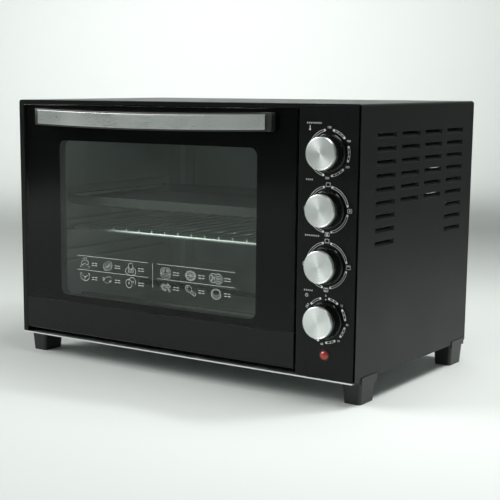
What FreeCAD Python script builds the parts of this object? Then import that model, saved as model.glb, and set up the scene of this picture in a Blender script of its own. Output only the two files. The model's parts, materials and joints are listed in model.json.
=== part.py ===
import FreeCAD, Part
import math
import os

# Countertop toaster oven: black steel cabinet, drop-down glass door on the left, control column
# on the right. Millimetres. Everything is drawn in a cabinet frame: X = 0 at mid width (+X to the
# right), Y = 0 at the front plane (+Y to the back), Z = 0 at the underside of the cabinet floor.
# Each finished piece is then shifted so that the origin is the bottom centre of the whole oven.

# ---- driving dimensions -----------------------------------------------------------------------
cabinet_width = 540.0
cabinet_depth = 320.0
cabinet_height = 330.0
sheet = 0.6                  # casing, cavity, floor and rear sheet
casing_bend = 4.0            # outer radius of the casing's two top bends
rear_flange = 10.0           # casing edge turned in at the back

foot_height = 30.0
foot_width = 27.0
foot_length = 39.0
foot_setback = 16.0          # cabinet front to the front feet
foot_rear_setback = 6.0
foot_taper = 2.0             # each side, top to bottom
foot_lip = 1.0               # thickness of the lip that wraps the casing edge
foot_lip_rise = 4.5
foot_screw_recess = 22.0
foot_screw_clearance = 0.2

frame_plane = 18.5           # front face of the steel front frame, behind the door
frame_sheet = 1.0
stile_width = 7.6            # black border beside the door
rail_height = 4.8            # black border above the door

panel_width = 80.0           # control column
panel_edge = 3.0             # control column to the cabinet's right side
panel_wall = 2.5
panel_clearance = 0.6

door_gap = 3.0               # door to the control column
door_side_gap = 0.8
door_top_gap = 0.9
door_bottom = 6.0
door_thickness = 17.0
door_wall = 1.0              # folded sheet of the inner door frame
glass_thickness = 5.0
glass_corner = 2.0
inner_frame_corner = 3.0
bar_top = 51.0               # glass meets the lower bar
bar_wall = 2.5
bar_end_block = 14.0
bar_front_radius = 4.0
bar_rear_radius = 3.0
window_left_margin = 61.0
window_right_margin = 59.0
window_bottom = 60.5
window_top_margin = 48.5
window_radius = 10.0

hinge_y = 8.5
hinge_z = 10.0
hinge_pin_radius = 2.5
pin_depth = 12.0             # pin inside the door bar
hinge_pin_clearance = 0.5    # pin through the border and the control panel
running = 0.05               # radial clearance of every turning fit
snug = 0.02                  # radial clearance of fixed round fits
bracket_sheet = 1.6
bracket_margin = 5.0         # bracket around the pin, to the front and below
bracket_rise = 9.0

handle_reach = 28.5          # front of the handle at its middle, out from the glass
handle_bow = 1080.0          # radius of the handle's bow
strip_thickness = 1.2
strip_glue = 0.1             # glue line between the metal strip and the plastic grip
strip_height = 18.4
strip_length = 370.0
grip_depth = 8.0
grip_margin = 2.1            # black edge around the metal strip
grip_end = 7.5
handle_drop = 16.2           # handle centre below the door's top
post_width = 18.0
screw_radius = 2.0
screw_head = 4.0
screw_head_height = 2.4
screw_head_room = 1.0
screw_clearance = 0.6
handle_screw_grip = 8.0      # screw inside the handle post

cavity_side_gap = 35.0       # cabinet side to cavity wall
cavity_panel_gap = 29.0      # cavity wall to the control column
cavity_floor_z = 25.0
cavity_roof_gap = 30.0
cavity_back_gap = 17.0
guide_reach = 9.0            # pressed shelf guides
guide_height = 4.0
guide_space = 11.0           # support rib to the rib above it
guide_start = 34.0
guide_end_gap = 24.0
tray_level = 195.0
rack_level = 144.5
spare_level = 101.0
back_emboss_margin = 46.0
back_emboss_depth = 5.0
back_emboss_radius = 14.0

shelf_clearance = 0.3        # rack and tray above their guides
shelf_side_clearance = 3.0
shelf_back_clearance = 6.0
rack_front = 62.0
rack_frame_radius = 2.5
rack_corner = 12.0
rack_wire_radius = 1.5
rack_wires = 17
rack_weld = 0.3              # depth that crossing wires are pressed into each other
rack_cross_bars = 2
rack_bar_radius = 2.0
tray_front = 48.0
tray_depth = 14.0
tray_rim = 10.0
tray_corner = 16.0

heater_radius = 4.0
heater_front_gap = 70.0      # front frame to the front heaters
heater_rear_gap = 75.0       # cavity back to the rear heaters
heater_roof_gap = 15.0
heater_floor_gap = 20.0
heater_stub = 18.0           # element past the cavity wall
heater_pin_radius = 2.0
insulator_neck = 2.4         # wall of the ceramic bush
insulator_flange = 5.0
insulator_thickness = 6.0
bush_clearance = 0.1

knob_x_inset = 41.0          # knob axis from the control column's left edge
knob_top_gap = 57.0          # cabinet top to the highest knob axis
knob_low_z = 73.0            # lowest knob axis
knob_reach = 21.0
knob_gap = 0.5               # knob to the control panel
knob_base_radius = 23.0
knob_neck_radius = 20.0
cap_radius = 19.4
cap_depth = 5.0
cap_bevel = 1.6
shaft_radius = 3.0
shaft_clearance = 1.0        # shaft through the control panel and the front frame
shaft_in_knob = 12.0
shaft_in_switch = 14.0
end_play = 0.5               # free depth past the end of every shaft, pin and screw
lamp_z = 30.0
lamp_radius = 5.8
lamp_dome = 3.5
lamp_clearance = 0.2
lamp_flange = 1.7
lamp_flange_depth = 1.2
lamp_body_depth = 8.0
holder_radius = 4.5
holder_length = 16.0
holder_clearance = 1.0

small_screw_radius = 1.5
switch_screw_offset = 13.0
small_screw_length = 6.0
small_screw_head = 2.0
small_screw_clearance = 0.1

thermostat_half_width = 20.0
thermostat_half_height = 15.0
thermostat_depth = 20.0
thermostat_disc_radius = 10.0
thermostat_disc_depth = 7.0
wafer_radius = 18.0
wafer_depth = 24.0
wafer_tab_depth = 30.0
wafer_tab = (12.0, 6.0)      # half sizes of the terminal tab on each rotary switch
timer_half_width = 24.0
timer_half_height = 22.0
timer_depth = 42.0
bell_radius = 17.0
bell_depth = 10.0
terminal_width = 40.0
terminal_length = 24.0
terminal_height = 17.0

fan_back_gap = 78.0          # cavity back to the fan axis
fan_roof_gap = 62.0
fan_housing_radius = 34.0
fan_housing_depth = 27.0
fan_radius = 28.0
fan_hub = 7.0
fan_depth = 15.0
fan_blades = 8
fan_wall_gap = 5.0
fan_blade_inset = 0.5        # blade tip inside the fan's disc
fan_shaft_radius = 2.5
fan_shaft_grip = 20.0
fan_motor_radius = 24.0
fan_motor_length = 32.0
fan_vent_rings = (8.0, 16.0, 24.0)
fan_vent_radius = 2.2

spit_z = 171.0
socket_radius = 7.0
socket_square = 6.8
socket_clearance = 0.6
socket_in_cavity = 3.0
socket_length = 17.0
socket_shaft_length = 18.0
spit_motor_half_width = 26.0
spit_motor_half_height = 21.0
spit_motor_depth = 34.0
spit_rest_width = 20.0
spit_rest_height = 16.5
spit_rest_reach = 6.0
spit_notch = 4.0

louvre_length = 49.5
louvre_height = 3.0
louvre_lip = 2.2
louvre_front = 41.0
louvre_rear = 34.5
louvre_top_gap = 36.0
louvre_pitch = 16.15
louvre_rows = (9, 6, 6, 9)   # rows in each column, front to back

gland_x_inset = 55.0
gland_z = 60.0
gland_bore = 3.6
gland_radius = 6.0
gland_flange = 9.0
gland_out = 8.0
gland_in = 6.0
gland_clearance = 0.2
vent_length = 40.0
vent_height = 3.0
vent_pitch = 12.0
floor_vent_rows = 6
rear_vent_rows = 4
rear_vent_columns = 4
cord_side_vent_rows = 8      # single column of slots above the mains cord

trim_length_inset = 3.0
trim_thickness = 1.2
trim_drop = 1.2

# ---- derived places ---------------------------------------------------------------------------
half = cabinet_width / 2
side_in = half - sheet
roof_in = cabinet_height - sheet
frame_back = frame_plane + frame_sheet
rear_panel_front = cabinet_depth - 2 * sheet

panel_right = half - panel_edge
panel_left = panel_right - panel_width
panel_low = sheet + panel_clearance
panel_high = roof_in - panel_clearance

stile_edge = -side_in + stile_width
rail_edge = roof_in - rail_height
door_left = stile_edge + door_side_gap
door_right = panel_left - door_gap
door_top = rail_edge - door_top_gap
door_mid = (door_left + door_right) / 2
window_left = door_left + window_left_margin
window_right = door_right - window_right_margin
window_top = door_top - window_top_margin

cavity_left = -half + cavity_side_gap
cavity_right = panel_left - cavity_panel_gap
cavity_roof_z = cabinet_height - cavity_roof_gap
cavity_back_y = cabinet_depth - cavity_back_gap

handle_z = door_top - handle_drop
grip_left = door_mid - strip_length / 2 - grip_end
grip_right = door_mid + strip_length / 2 + grip_end
post_middles = (grip_left + post_width / 2, grip_right - post_width / 2)

knob_x = panel_left + knob_x_inset
knob_names = ("temperature", "mode", "heater", "timer")
knob_pitch = (cabinet_height - knob_top_gap - knob_low_z) / (len(knob_names) - 1)
knob_heights = [cabinet_height - knob_top_gap - i * knob_pitch for i in range(len(knob_names))]

heater_front_y = frame_back + heater_front_gap
heater_rear_y = cavity_back_y - heater_rear_gap
heater_high_z = cavity_roof_z - heater_roof_gap
heater_low_z = cavity_floor_z + heater_floor_gap
heater_places = {
    "heater_upper_front": (heater_front_y, heater_high_z),
    "heater_upper_rear": (heater_rear_y, heater_high_z),
    "heater_lower_front": (heater_front_y, heater_low_z),
    "heater_lower_rear": (heater_rear_y, heater_low_z),
}
insulator_hole = heater_radius + insulator_neck

fan_y = cavity_back_y - fan_back_gap
fan_z = cavity_roof_z - fan_roof_gap
wall_outside = cavity_right + sheet
spit_y = (frame_back + cavity_back_y) / 2
gland_x = half - gland_x_inset

front_most = -handle_reach
rear_most = cabinet_depth + gland_out
shaft_hole = shaft_radius + shaft_clearance
hinge_pin_hole = hinge_pin_radius + hinge_pin_clearance
foot_screw_hole = screw_radius + foot_screw_clearance
small_screw_hole = small_screw_radius + small_screw_clearance
shift = FreeCAD.Vector(0, -(front_most + rear_most) / 2, foot_height)


# ---- shape helpers ----------------------------------------------------------------------------
def box(x0, x1, y0, y1, z0, z1):
    return Part.makeBox(x1 - x0, y1 - y0, z1 - z0, FreeCAD.Vector(x0, y0, z0))


def rod_x(radius, x0, x1, y, z):
    return Part.makeCylinder(radius, x1 - x0, FreeCAD.Vector(x0, y, z), FreeCAD.Vector(1, 0, 0))


def rod_y(radius, y0, y1, x, z):
    return Part.makeCylinder(radius, y1 - y0, FreeCAD.Vector(x, y0, z), FreeCAD.Vector(0, 1, 0))


def rod_z(radius, z0, z1, x, y):
    return Part.makeCylinder(radius, z1 - z0, FreeCAD.Vector(x, y, z0), FreeCAD.Vector(0, 0, 1))


def along(axis, edge):
    """True if a straight edge runs along the given axis (0 = X, 1 = Y, 2 = Z)."""
    start, end = edge.Vertexes[0].Point, edge.Vertexes[-1].Point
    return all(abs(start[i] - end[i]) < 1e-6 for i in range(3) if i != axis)


def rounded_box(x0, x1, y0, y1, z0, z1, radius, axis):
    """Box whose four edges along one axis are rounded."""
    block = box(x0, x1, y0, y1, z0, z1)
    return block.makeFillet(radius, [edge for edge in block.Edges if along(axis, edge)])


def union(shapes):
    """One clean solid, or compound of solids, from overlapping or touching shapes."""
    whole = shapes[0].fuse(shapes[1:]) if len(shapes) > 1 else shapes[0]
    return whole.removeSplitter()


def group(shapes):
    """Separate solids kept together in one piece list."""
    return Part.makeCompound([solid for shape in shapes for solid in shape.Solids])


def slots(rows, columns, length, height, x0, z0, x_pitch, z_pitch, y0, y1):
    """Grid of round-ended slots that run along X and pass through Y."""
    cuts = []
    for row in range(rows):
        for column in range(columns):
            x = x0 + column * x_pitch
            z = z0 + row * z_pitch
            cuts.append(rounded_box(x, x + length, y0, y1, z, z + height, 0.45 * height, 1))
    return cuts


# ---- cabinet ----------------------------------------------------------------------------------
def louvre_places():
    """(front y, middle z) of every louvre on one side."""
    columns = len(louvre_rows)
    pitch = (cabinet_depth - louvre_front - louvre_rear - louvre_length) / (columns - 1)
    top = cabinet_height - louvre_top_gap
    return [(louvre_front + c * pitch, top - r * louvre_pitch)
            for c in range(columns) for r in range(louvre_rows[c])]


def rear_screw_places():
    """(x, z) of the screws that close the back."""
    x = side_in - rear_flange / 2
    top = roof_in - rear_flange / 2
    sides = [(s * x, z) for s in (-1, 1) for z in (cabinet_height / 12, cabinet_height / 2)]
    return sides + [(s * x, top) for s in (-1, 1)] + [(0, top)]


def outer_casing():
    """U-shaped wrapper: roof and both sides, with louvres and a turned-in rear edge."""
    below = -2 * casing_bend
    outside = rounded_box(-half, half, 0, cabinet_depth, below, cabinet_height, casing_bend, 1)
    inside = rounded_box(-side_in, side_in, 0, rear_panel_front + sheet, below, roof_in,
                         casing_bend - sheet, 1)
    back_hole = box(-side_in + rear_flange, side_in - rear_flange, 0, cabinet_depth,
                    below, roof_in - rear_flange)
    shell = outside.cut([inside, back_hole, box(-half, half, 0, cabinet_depth, below, 0)])
    cuts = [rod_y(small_screw_hole, 0, cabinet_depth, x, z) for x, z in rear_screw_places()]
    lips = []
    for side in (-1, 1):
        outer, inner = side * half, side * side_in
        deep = inner - side * louvre_lip
        for y, z in louvre_places():
            low = z - louvre_height / 2
            cuts.append(box(min(outer, deep), max(outer, deep), y, y + louvre_length,
                            low, low + louvre_height))
            lips.append(box(min(inner, deep), max(inner, deep), y, y + louvre_length,
                            low - sheet, low))
    return union([shell.cut(cuts)] + lips)


def front_frame():
    """Steel face plate behind the door, with the visible black border above and left of the door."""
    plate = box(-side_in, side_in, frame_plane, frame_back, sheet, roof_in)
    corner = casing_bend - sheet
    stile_face = box(-side_in, stile_edge, 0, sheet, sheet, roof_in)
    stile_side = box(stile_edge - sheet, stile_edge, 0, frame_plane, sheet, rail_edge + sheet)
    rail_face = box(stile_edge, panel_left, 0, sheet, rail_edge, roof_in)
    rail_side = box(stile_edge - sheet, panel_left, 0, frame_plane, rail_edge, rail_edge + sheet)
    whole = union([plate, stile_face, stile_side, rail_face, rail_side])
    bounds = rounded_box(-side_in, side_in, 0, frame_back, -corner, roof_in, corner, 1)
    cuts = [box(cavity_left, cavity_right, frame_plane, frame_back, cavity_floor_z, cavity_roof_z)]
    cuts += [rod_y(shaft_hole, frame_plane, frame_back, knob_x, z) for z in knob_heights]
    cuts += [rod_y(small_screw_hole, frame_plane, frame_back, x, z)
             for x, z in switch_screw_places()]
    cuts.append(rod_y(holder_radius + holder_clearance, frame_plane, frame_back, knob_x, lamp_z))
    cuts.append(rod_x(hinge_pin_hole, stile_edge - 2 * sheet, stile_edge, hinge_y, hinge_z))
    return whole.common(bounds).cut(cuts)


def bottom_plate():
    plate = box(-side_in, side_in, 0, rear_panel_front, 0, sheet)
    cuts = [rod_z(foot_screw_hole, 0, sheet, x, y) for x, y in foot_middles().values()]
    for row in range(floor_vent_rows):
        y = cabinet_depth / 3 + row * vent_pitch
        cuts += [box(x, x + vent_length, y, y + vent_height, 0, sheet)
                 for x in (-2 * vent_length, -vent_length / 2, vent_length)]
    return plate.cut(cuts)


def rear_panel():
    corner = casing_bend - sheet
    plate = rounded_box(-side_in, side_in, rear_panel_front, rear_panel_front + sheet,
                        -corner, roof_in, corner, 1)
    plate = plate.cut(box(-half, half, rear_panel_front, cabinet_depth, -2 * corner, 0))
    cuts = [rod_y(small_screw_hole, rear_panel_front, cabinet_depth, x, z)
            for x, z in rear_screw_places()]
    cuts.append(rod_y(gland_radius + gland_clearance, rear_panel_front, cabinet_depth, gland_x, gland_z))
    vents_x = half - gland_x_inset - vent_length / 2
    cuts += slots(cord_side_vent_rows, 1, vent_length, vent_height, vents_x, cabinet_height / 2,
                  1, vent_pitch, rear_panel_front, cabinet_depth)
    cuts += slots(rear_vent_rows, rear_vent_columns, vent_length, vent_height, -3 * vent_length,
                  cabinet_height / 3, 1.5 * vent_length, vent_pitch, rear_panel_front, cabinet_depth)
    return plate.cut(cuts)


def casing_screws():
    """Seven screws, each through the casing's rear edge and the rear panel."""
    screws = []
    for x, z in rear_screw_places():
        head = rod_y(2 * small_screw_radius, cabinet_depth, cabinet_depth + small_screw_head, x, z)
        shank = rod_y(small_screw_radius, cabinet_depth - 3 * small_screw_head, cabinet_depth, x, z)
        screws.append(union([head, shank]))
    return group(screws)


def trim_strip():
    """Bright strip along the lower front edge."""
    length = half - trim_length_inset
    return box(-length, length, -trim_thickness, 0, -trim_drop, sheet)


def foot_middles():
    x = half - foot_width / 2
    front = foot_setback + foot_length / 2
    rear = cabinet_depth - foot_rear_setback - foot_length / 2
    return {
        "foot_front_left": (-x, front), "foot_front_right": (x, front),
        "foot_rear_left": (-x, rear), "foot_rear_right": (x, rear),
    }


def foot(x, y):
    """Tapered foot with a recessed screw hole and a lip that wraps the casing's lower edge."""
    def outline(inset, z):
        wide = foot_width / 2 - inset
        long = foot_length / 2 - inset
        return Part.makePolygon([FreeCAD.Vector(x + sx * wide, y + sy * long, z)
                                 for sx, sy in ((-1, -1), (1, -1), (1, 1), (-1, 1), (-1, -1))])
    body = Part.makeLoft([outline(0, 0), outline(foot_taper, -foot_height)], True)
    uprights = [edge for edge in body.Edges if not (along(0, edge) or along(1, edge))]
    body = body.makeFillet(2 * foot_taper, uprights)
    side = math.copysign(1, x)
    edge, lip = side * half, side * (half + foot_lip)
    root = side * (half - 2 * foot_taper)
    long = foot_length / 2
    wrap = box(min(edge, lip), max(edge, lip), y - long, y + long, -foot_lip_rise, foot_lip_rise)
    bridge = box(min(root, edge), max(root, edge), y - long + 2 * foot_taper,
                 y + long - 2 * foot_taper, -foot_lip_rise / 2, 0)
    body = union([body, bridge, wrap])
    recess = rod_z(screw_head + screw_head_room, -foot_height, foot_screw_recess - foot_height, x, y)
    return body.cut([recess, rod_z(foot_screw_hole, -foot_height, 0, x, y)])


def foot_screws():
    head_z = foot_screw_recess - foot_height
    screws = []
    for x, y in foot_middles().values():
        head = rod_z(screw_head, head_z - screw_head_height, head_z, x, y)
        screws.append(union([head, rod_z(screw_radius, head_z, 4 * sheet, x, y)]))
    return group(screws)


# ---- cavity -----------------------------------------------------------------------------------
def shelf_guides(wall, inward):
    """Ribs in pairs: a lower one carries the shelf, an upper one stops it from tipping."""
    near, far = sorted((wall, wall + inward * guide_reach))
    end = cavity_back_y - guide_end_gap
    ribs = []
    for level in (tray_level, rack_level, spare_level):
        for top in (level, level + guide_space + guide_height):
            rib = box(near, far, guide_start, end, top - guide_height, top)
            tip = [edge for edge in rib.Edges
                   if along(1, edge) and abs(edge.Vertexes[0].X - (wall + inward * guide_reach)) < 1e-6]
            ribs.append(rib.makeFillet(0.4 * guide_height, tip))
    return ribs


def cavity_wall(x0, x1, wall, inward):
    plate = box(x0, x1, frame_back, cavity_back_y, cavity_floor_z - sheet, cavity_roof_z + sheet)
    holes = [rod_x(insulator_hole, x0, x1, y, z) for y, z in heater_places.values()]
    return union([plate.cut(holes)] + shelf_guides(wall, inward))


def cavity_left_wall():
    return cavity_wall(cavity_left - sheet, cavity_left, cavity_left, 1)


def fan_vents():
    """(y, z) of the holes that the fan blows through."""
    places = []
    for ring in fan_vent_rings:
        count = int(2 * math.pi * ring / (3.2 * fan_vent_radius))
        places += [(fan_y + ring * math.cos(2 * math.pi * i / count),
                    fan_z + ring * math.sin(2 * math.pi * i / count)) for i in range(count)]
    return places


def cavity_right_wall():
    wall = cavity_wall(cavity_right, wall_outside, cavity_right, -1)
    cuts = [rod_x(fan_vent_radius, cavity_right, wall_outside, y, z) for y, z in fan_vents()]
    cuts.append(rod_x(socket_radius + socket_clearance, cavity_right, wall_outside, spit_y, spit_z))
    return wall.cut(cuts)


def cavity_roof():
    return box(cavity_left, cavity_right, frame_back, cavity_back_y,
               cavity_roof_z, cavity_roof_z + sheet)


def cavity_floor():
    return box(cavity_left, cavity_right, frame_back, cavity_back_y,
               cavity_floor_z - sheet, cavity_floor_z)


def cavity_back():
    """Back sheet with a shallow pressed panel."""
    outer = cavity_back_y + sheet
    plate = box(cavity_left - sheet, wall_outside, cavity_back_y, outer,
                cavity_floor_z - sheet, cavity_roof_z + sheet)
    x0, x1 = cavity_left + back_emboss_margin, cavity_right - back_emboss_margin
    z0, z1 = cavity_floor_z + back_emboss_margin, cavity_roof_z - back_emboss_margin
    pan = rounded_box(x0, x1, cavity_back_y, outer + back_emboss_depth, z0, z1, back_emboss_radius, 1)
    hollow = rounded_box(x0 + sheet, x1 - sheet, cavity_back_y, cavity_back_y + back_emboss_depth,
                         z0 + sheet, z1 - sheet, back_emboss_radius - sheet, 1)
    return union([plate, pan]).cut(hollow)


def heater(y, z):
    left, right = cavity_left - heater_stub, cavity_right + heater_stub
    tube = rod_x(heater_radius, left + insulator_thickness, right - insulator_thickness, y, z)
    return union([tube, rod_x(heater_pin_radius, left, right, y, z)])


def heater_insulators():
    """Ceramic bush at each end of each element, flange outside the cavity wall."""
    bushes = []
    for y, z in heater_places.values():
        for wall, outside, side in ((cavity_left, cavity_left - sheet, -1),
                                    (cavity_right, wall_outside, 1)):
            far = outside + side * insulator_thickness
            neck = rod_x(insulator_hole - bush_clearance, min(wall, far), max(wall, far), y, z)
            flange = rod_x(heater_radius + insulator_flange, min(outside, far), max(outside, far), y, z)
            bore = rod_x(heater_radius + bush_clearance, min(wall, far), max(wall, far), y, z)
            bushes.append(union([neck, flange]).cut(bore))
    return group(bushes)


def wire_rack():
    """Welded rack: a bent outer frame, two cross bars under the rods, and front-to-back rods."""
    left = cavity_left + shelf_side_clearance + rack_frame_radius
    right = cavity_right - shelf_side_clearance - rack_frame_radius
    back = cavity_back_y - shelf_back_clearance - rack_frame_radius
    z = rack_level + shelf_clearance + rack_frame_radius
    frame = [rod_x(rack_frame_radius, left + rack_corner, right - rack_corner, y, z)
             for y in (rack_front, back)]
    frame += [rod_y(rack_frame_radius, rack_front + rack_corner, back - rack_corner, x, z)
              for x in (left, right)]
    for x, y, turn in ((right, back, 0), (left, back, 90), (left, rack_front, 180),
                       (right, rack_front, 270)):
        middle = FreeCAD.Vector(x - math.copysign(rack_corner, x - door_mid),
                                y - math.copysign(rack_corner, y - spit_y), z)
        bend = Part.makeTorus(rack_corner, rack_frame_radius, middle, FreeCAD.Vector(0, 0, 1),
                              -180, 180, 90)
        bend.rotate(middle, FreeCAD.Vector(0, 0, 1), turn)
        frame.append(bend)
    bars = []
    for i in range(rack_cross_bars):
        y = rack_front + (i + 1) * (back - rack_front) / (rack_cross_bars + 1)
        bars.append(rod_x(rack_bar_radius, left, right, y, z + rack_frame_radius - rack_bar_radius))
    rod_z_mid = z + rack_frame_radius + rack_wire_radius - rack_weld
    pitch = (right - left) / rack_wires
    rods = [rod_y(rack_wire_radius, rack_front - rack_frame_radius, back + rack_frame_radius,
                  left + (i + 0.5) * pitch, rod_z_mid) for i in range(rack_wires)]
    return union(frame + bars + rods)


def baking_tray():
    left = cavity_left + shelf_side_clearance
    right = cavity_right - shelf_side_clearance
    back = cavity_back_y - shelf_back_clearance
    rim_low = tray_level + shelf_clearance
    bottom = rim_low + sheet - tray_depth
    rim = rounded_box(left, right, tray_front, back, rim_low, rim_low + sheet, tray_corner, 2)
    pan = rounded_box(left + tray_rim, right - tray_rim, tray_front + tray_rim, back - tray_rim,
                      bottom, rim_low + sheet, tray_corner - sheet, 2)
    inset = tray_rim + sheet
    hollow = rounded_box(left + inset, right - inset, tray_front + inset, back - inset,
                         bottom + sheet, rim_low + sheet, tray_corner - 2 * sheet, 2)
    return union([rim, pan]).cut(hollow)


# ---- door -------------------------------------------------------------------------------------
def door_glass():
    glass = rounded_box(door_left, door_right, 0, glass_thickness, bar_top, door_top,
                        glass_corner, 1)
    holes = [rod_y(screw_radius + screw_clearance, 0, glass_thickness, x, handle_z)
             for x in post_middles]
    return glass.cut(holes)


def door_inner_frame():
    """Folded steel frame behind the glass: a channel around the window, open towards the glass."""
    def ring(grow, y0, y1):
        outer = rounded_box(door_left + door_wall + grow, door_right - door_wall - grow, y0, y1,
                            bar_top + grow, door_top - door_wall - grow, inner_frame_corner, 1)
        return outer.cut(rounded_box(window_left - grow, window_right + grow, y0, y1,
                                     window_bottom - grow, window_top + grow,
                                     window_radius + grow, 1))
    body = ring(0, glass_thickness, door_thickness)
    channel = ring(door_wall, glass_thickness, door_thickness - door_wall)
    access = [rod_y(screw_head + screw_head_room, glass_thickness, door_thickness, x, handle_z)
              for x in post_middles]
    return body.cut([channel] + access)


def door_lower_bar():
    """Black bar that carries the hinge pins, hollow from behind between solid ends."""
    block = box(door_left, door_right, 0, door_thickness, door_bottom, bar_top)
    for y, radius in ((0, bar_front_radius), (door_thickness, bar_rear_radius)):
        low = [edge for edge in block.Edges if along(0, edge)
               and abs(edge.Vertexes[0].Y - y) < 1e-6 and abs(edge.Vertexes[0].Z - door_bottom) < 1e-6]
        block = block.makeFillet(radius, low)
    hollow = box(door_left + bar_end_block, door_right - bar_end_block, bar_wall, door_thickness,
                 door_bottom + bar_front_radius, bar_top - bar_wall)
    reach = pin_depth + end_play
    bores = [rod_x(hinge_pin_radius + running, door_left, door_left + reach, hinge_y, hinge_z),
             rod_x(hinge_pin_radius + running, door_right - reach, door_right, hinge_y, hinge_z)]
    return block.cut([hollow] + bores)


def bowed_plate(x0, x1, depth_in, depth_out, z0, z1):
    """Slice of a large ring, seen from above: depths are measured inwards from the handle's front."""
    centre = FreeCAD.Vector(door_mid, handle_bow - handle_reach, z0)
    ring = Part.makeCylinder(handle_bow - depth_in, z1 - z0, centre)
    ring = ring.cut(Part.makeCylinder(handle_bow - depth_out, z1 - z0, centre))
    return ring.common(box(x0, x1, -2 * handle_reach, 0, z0, z1))


def handle_strip():
    z0 = handle_z - strip_height / 2
    return bowed_plate(door_mid - strip_length / 2, door_mid + strip_length / 2,
                       0, strip_thickness, z0, z0 + strip_height)


def handle_grip():
    z0 = handle_z - strip_height / 2 - grip_margin
    z1 = handle_z + strip_height / 2 + grip_margin
    front = strip_thickness + strip_glue
    grip = bowed_plate(grip_left, grip_right, front, front + grip_depth, z0, z1)
    posts = []
    for x in post_middles:
        block = box(x - post_width / 2, x + post_width / 2, -handle_reach, 0, z0, z1)
        face = Part.makeCylinder(handle_bow - front, z1 - z0,
                                 FreeCAD.Vector(door_mid, handle_bow - handle_reach, z0))
        posts.append(block.common(face))
    holes = [rod_y(screw_radius + snug, -handle_screw_grip - end_play, 0, x, handle_z)
             for x in post_middles]
    return union([grip] + posts).cut(holes)


def handle_screws():
    screws = []
    for x in post_middles:
        shank = rod_y(screw_radius, -handle_screw_grip, glass_thickness, x, handle_z)
        head = rod_y(screw_head, glass_thickness, glass_thickness + screw_head_height, x, handle_z)
        screws.append(union([shank, head]))
    return group(screws)


def hinge_bracket_places():
    """Outer and inner X of the two brackets that hold the hinge pins."""
    left = -side_in + 2 * bracket_sheet
    right = panel_left + panel_wall + bracket_sheet
    return [(left, left + bracket_sheet), (right, right + bracket_sheet)]


def hinge_brackets():
    brackets = []
    for x0, x1 in hinge_bracket_places():
        plate = box(x0, x1, hinge_y - bracket_margin, frame_plane,
                    hinge_z - bracket_margin, hinge_z + bracket_rise)
        brackets.append(plate.cut(rod_x(hinge_pin_radius + snug, x0, x1, hinge_y, hinge_z)))
    return group(brackets)


def hinge_pins():
    (left_out, _), (_, right_out) = hinge_bracket_places()
    tail = bracket_sheet / 2
    return group([
        rod_x(hinge_pin_radius, left_out - tail, door_left + pin_depth, hinge_y, hinge_z),
        rod_x(hinge_pin_radius, door_right - pin_depth, right_out + tail, hinge_y, hinge_z),
    ])


# ---- controls ---------------------------------------------------------------------------------
def switch_screw_places():
    return [(knob_x + side * switch_screw_offset, z) for z in knob_heights for side in (-1, 1)]


def control_panel():
    """Front of the control column, hollow from behind."""
    body = box(panel_left, panel_right, 0, frame_plane, panel_low, panel_high)
    rim = [edge for edge in body.Edges if abs(edge.CenterOfMass.y) < 1e-6]
    body = body.makeFillet(1.0, rim)
    hollow = box(panel_left + panel_wall, panel_right - panel_wall, panel_wall, frame_plane,
                 panel_low + panel_wall, panel_high - panel_wall)
    cuts = [rod_y(shaft_hole, 0, panel_wall, knob_x, z) for z in knob_heights]
    cuts.append(rod_y(lamp_radius + lamp_clearance, 0, panel_wall, knob_x, lamp_z))
    cuts.append(rod_x(hinge_pin_hole, panel_left, panel_left + panel_wall, hinge_y, hinge_z))
    return body.cut([hollow] + cuts)


def knob(z):
    """Plastic knob: a cone that narrows towards its metal cap, bored for the shaft."""
    depth = knob_reach - knob_gap - cap_depth
    cone = Part.makeCone(knob_base_radius, knob_neck_radius, depth,
                         FreeCAD.Vector(knob_x, -knob_gap, z), FreeCAD.Vector(0, -1, 0))
    return cone.cut(rod_y(shaft_radius + snug, -knob_gap - shaft_in_knob, -knob_gap, knob_x, z))


def knob_cap(z):
    """Turned metal cap on the knob's front, with a bevelled edge."""
    disc = rod_y(cap_radius, -knob_reach, cap_depth - knob_reach, knob_x, z)
    front = [edge for edge in disc.Edges
             if abs(edge.CenterOfMass.y + knob_reach) < 1e-6 and edge.Closed]
    return disc.makeChamfer(cap_bevel, front)


def knob_shaft(z):
    return rod_y(shaft_radius, end_play - knob_gap - shaft_in_knob, frame_back + shaft_in_switch,
                 knob_x, z)


def switch_body(shape, z):
    """Bore a switch body for its shaft and its two screws."""
    bores = [rod_y(shaft_radius + running, frame_back, frame_back + shaft_in_switch + end_play, knob_x, z)]
    bores += [rod_y(small_screw_hole, frame_back, frame_back + small_screw_length + end_play, x, z)
              for x in (knob_x - switch_screw_offset, knob_x + switch_screw_offset)]
    return shape.cut(bores)


def switch_block(z, half_width, depth, half_height):
    return box(knob_x - half_width, knob_x + half_width, frame_back, frame_back + depth,
               z - half_height, z + half_height)


def thermostat_body():
    z = knob_heights[0]
    back = frame_back + thermostat_depth
    disc = rod_y(thermostat_disc_radius, back, back + thermostat_disc_depth, knob_x, z)
    block = switch_block(z, thermostat_half_width, thermostat_depth, thermostat_half_height)
    return switch_body(union([block, disc]), z)


def rotary_switch(z, half_width, half_height):
    wafer = rod_y(wafer_radius, frame_back, frame_back + wafer_depth, knob_x, z)
    tab = switch_block(z, half_width, wafer_tab_depth, half_height)
    return switch_body(union([wafer, tab]), z)


def mode_switch_body():
    return rotary_switch(knob_heights[1], wafer_tab[1], wafer_tab[0])


def heater_switch_body():
    return rotary_switch(knob_heights[2], wafer_tab[0], wafer_tab[1])


def timer_body():
    z = knob_heights[3]
    return switch_body(switch_block(z, timer_half_width, timer_depth, timer_half_height), z)


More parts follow.
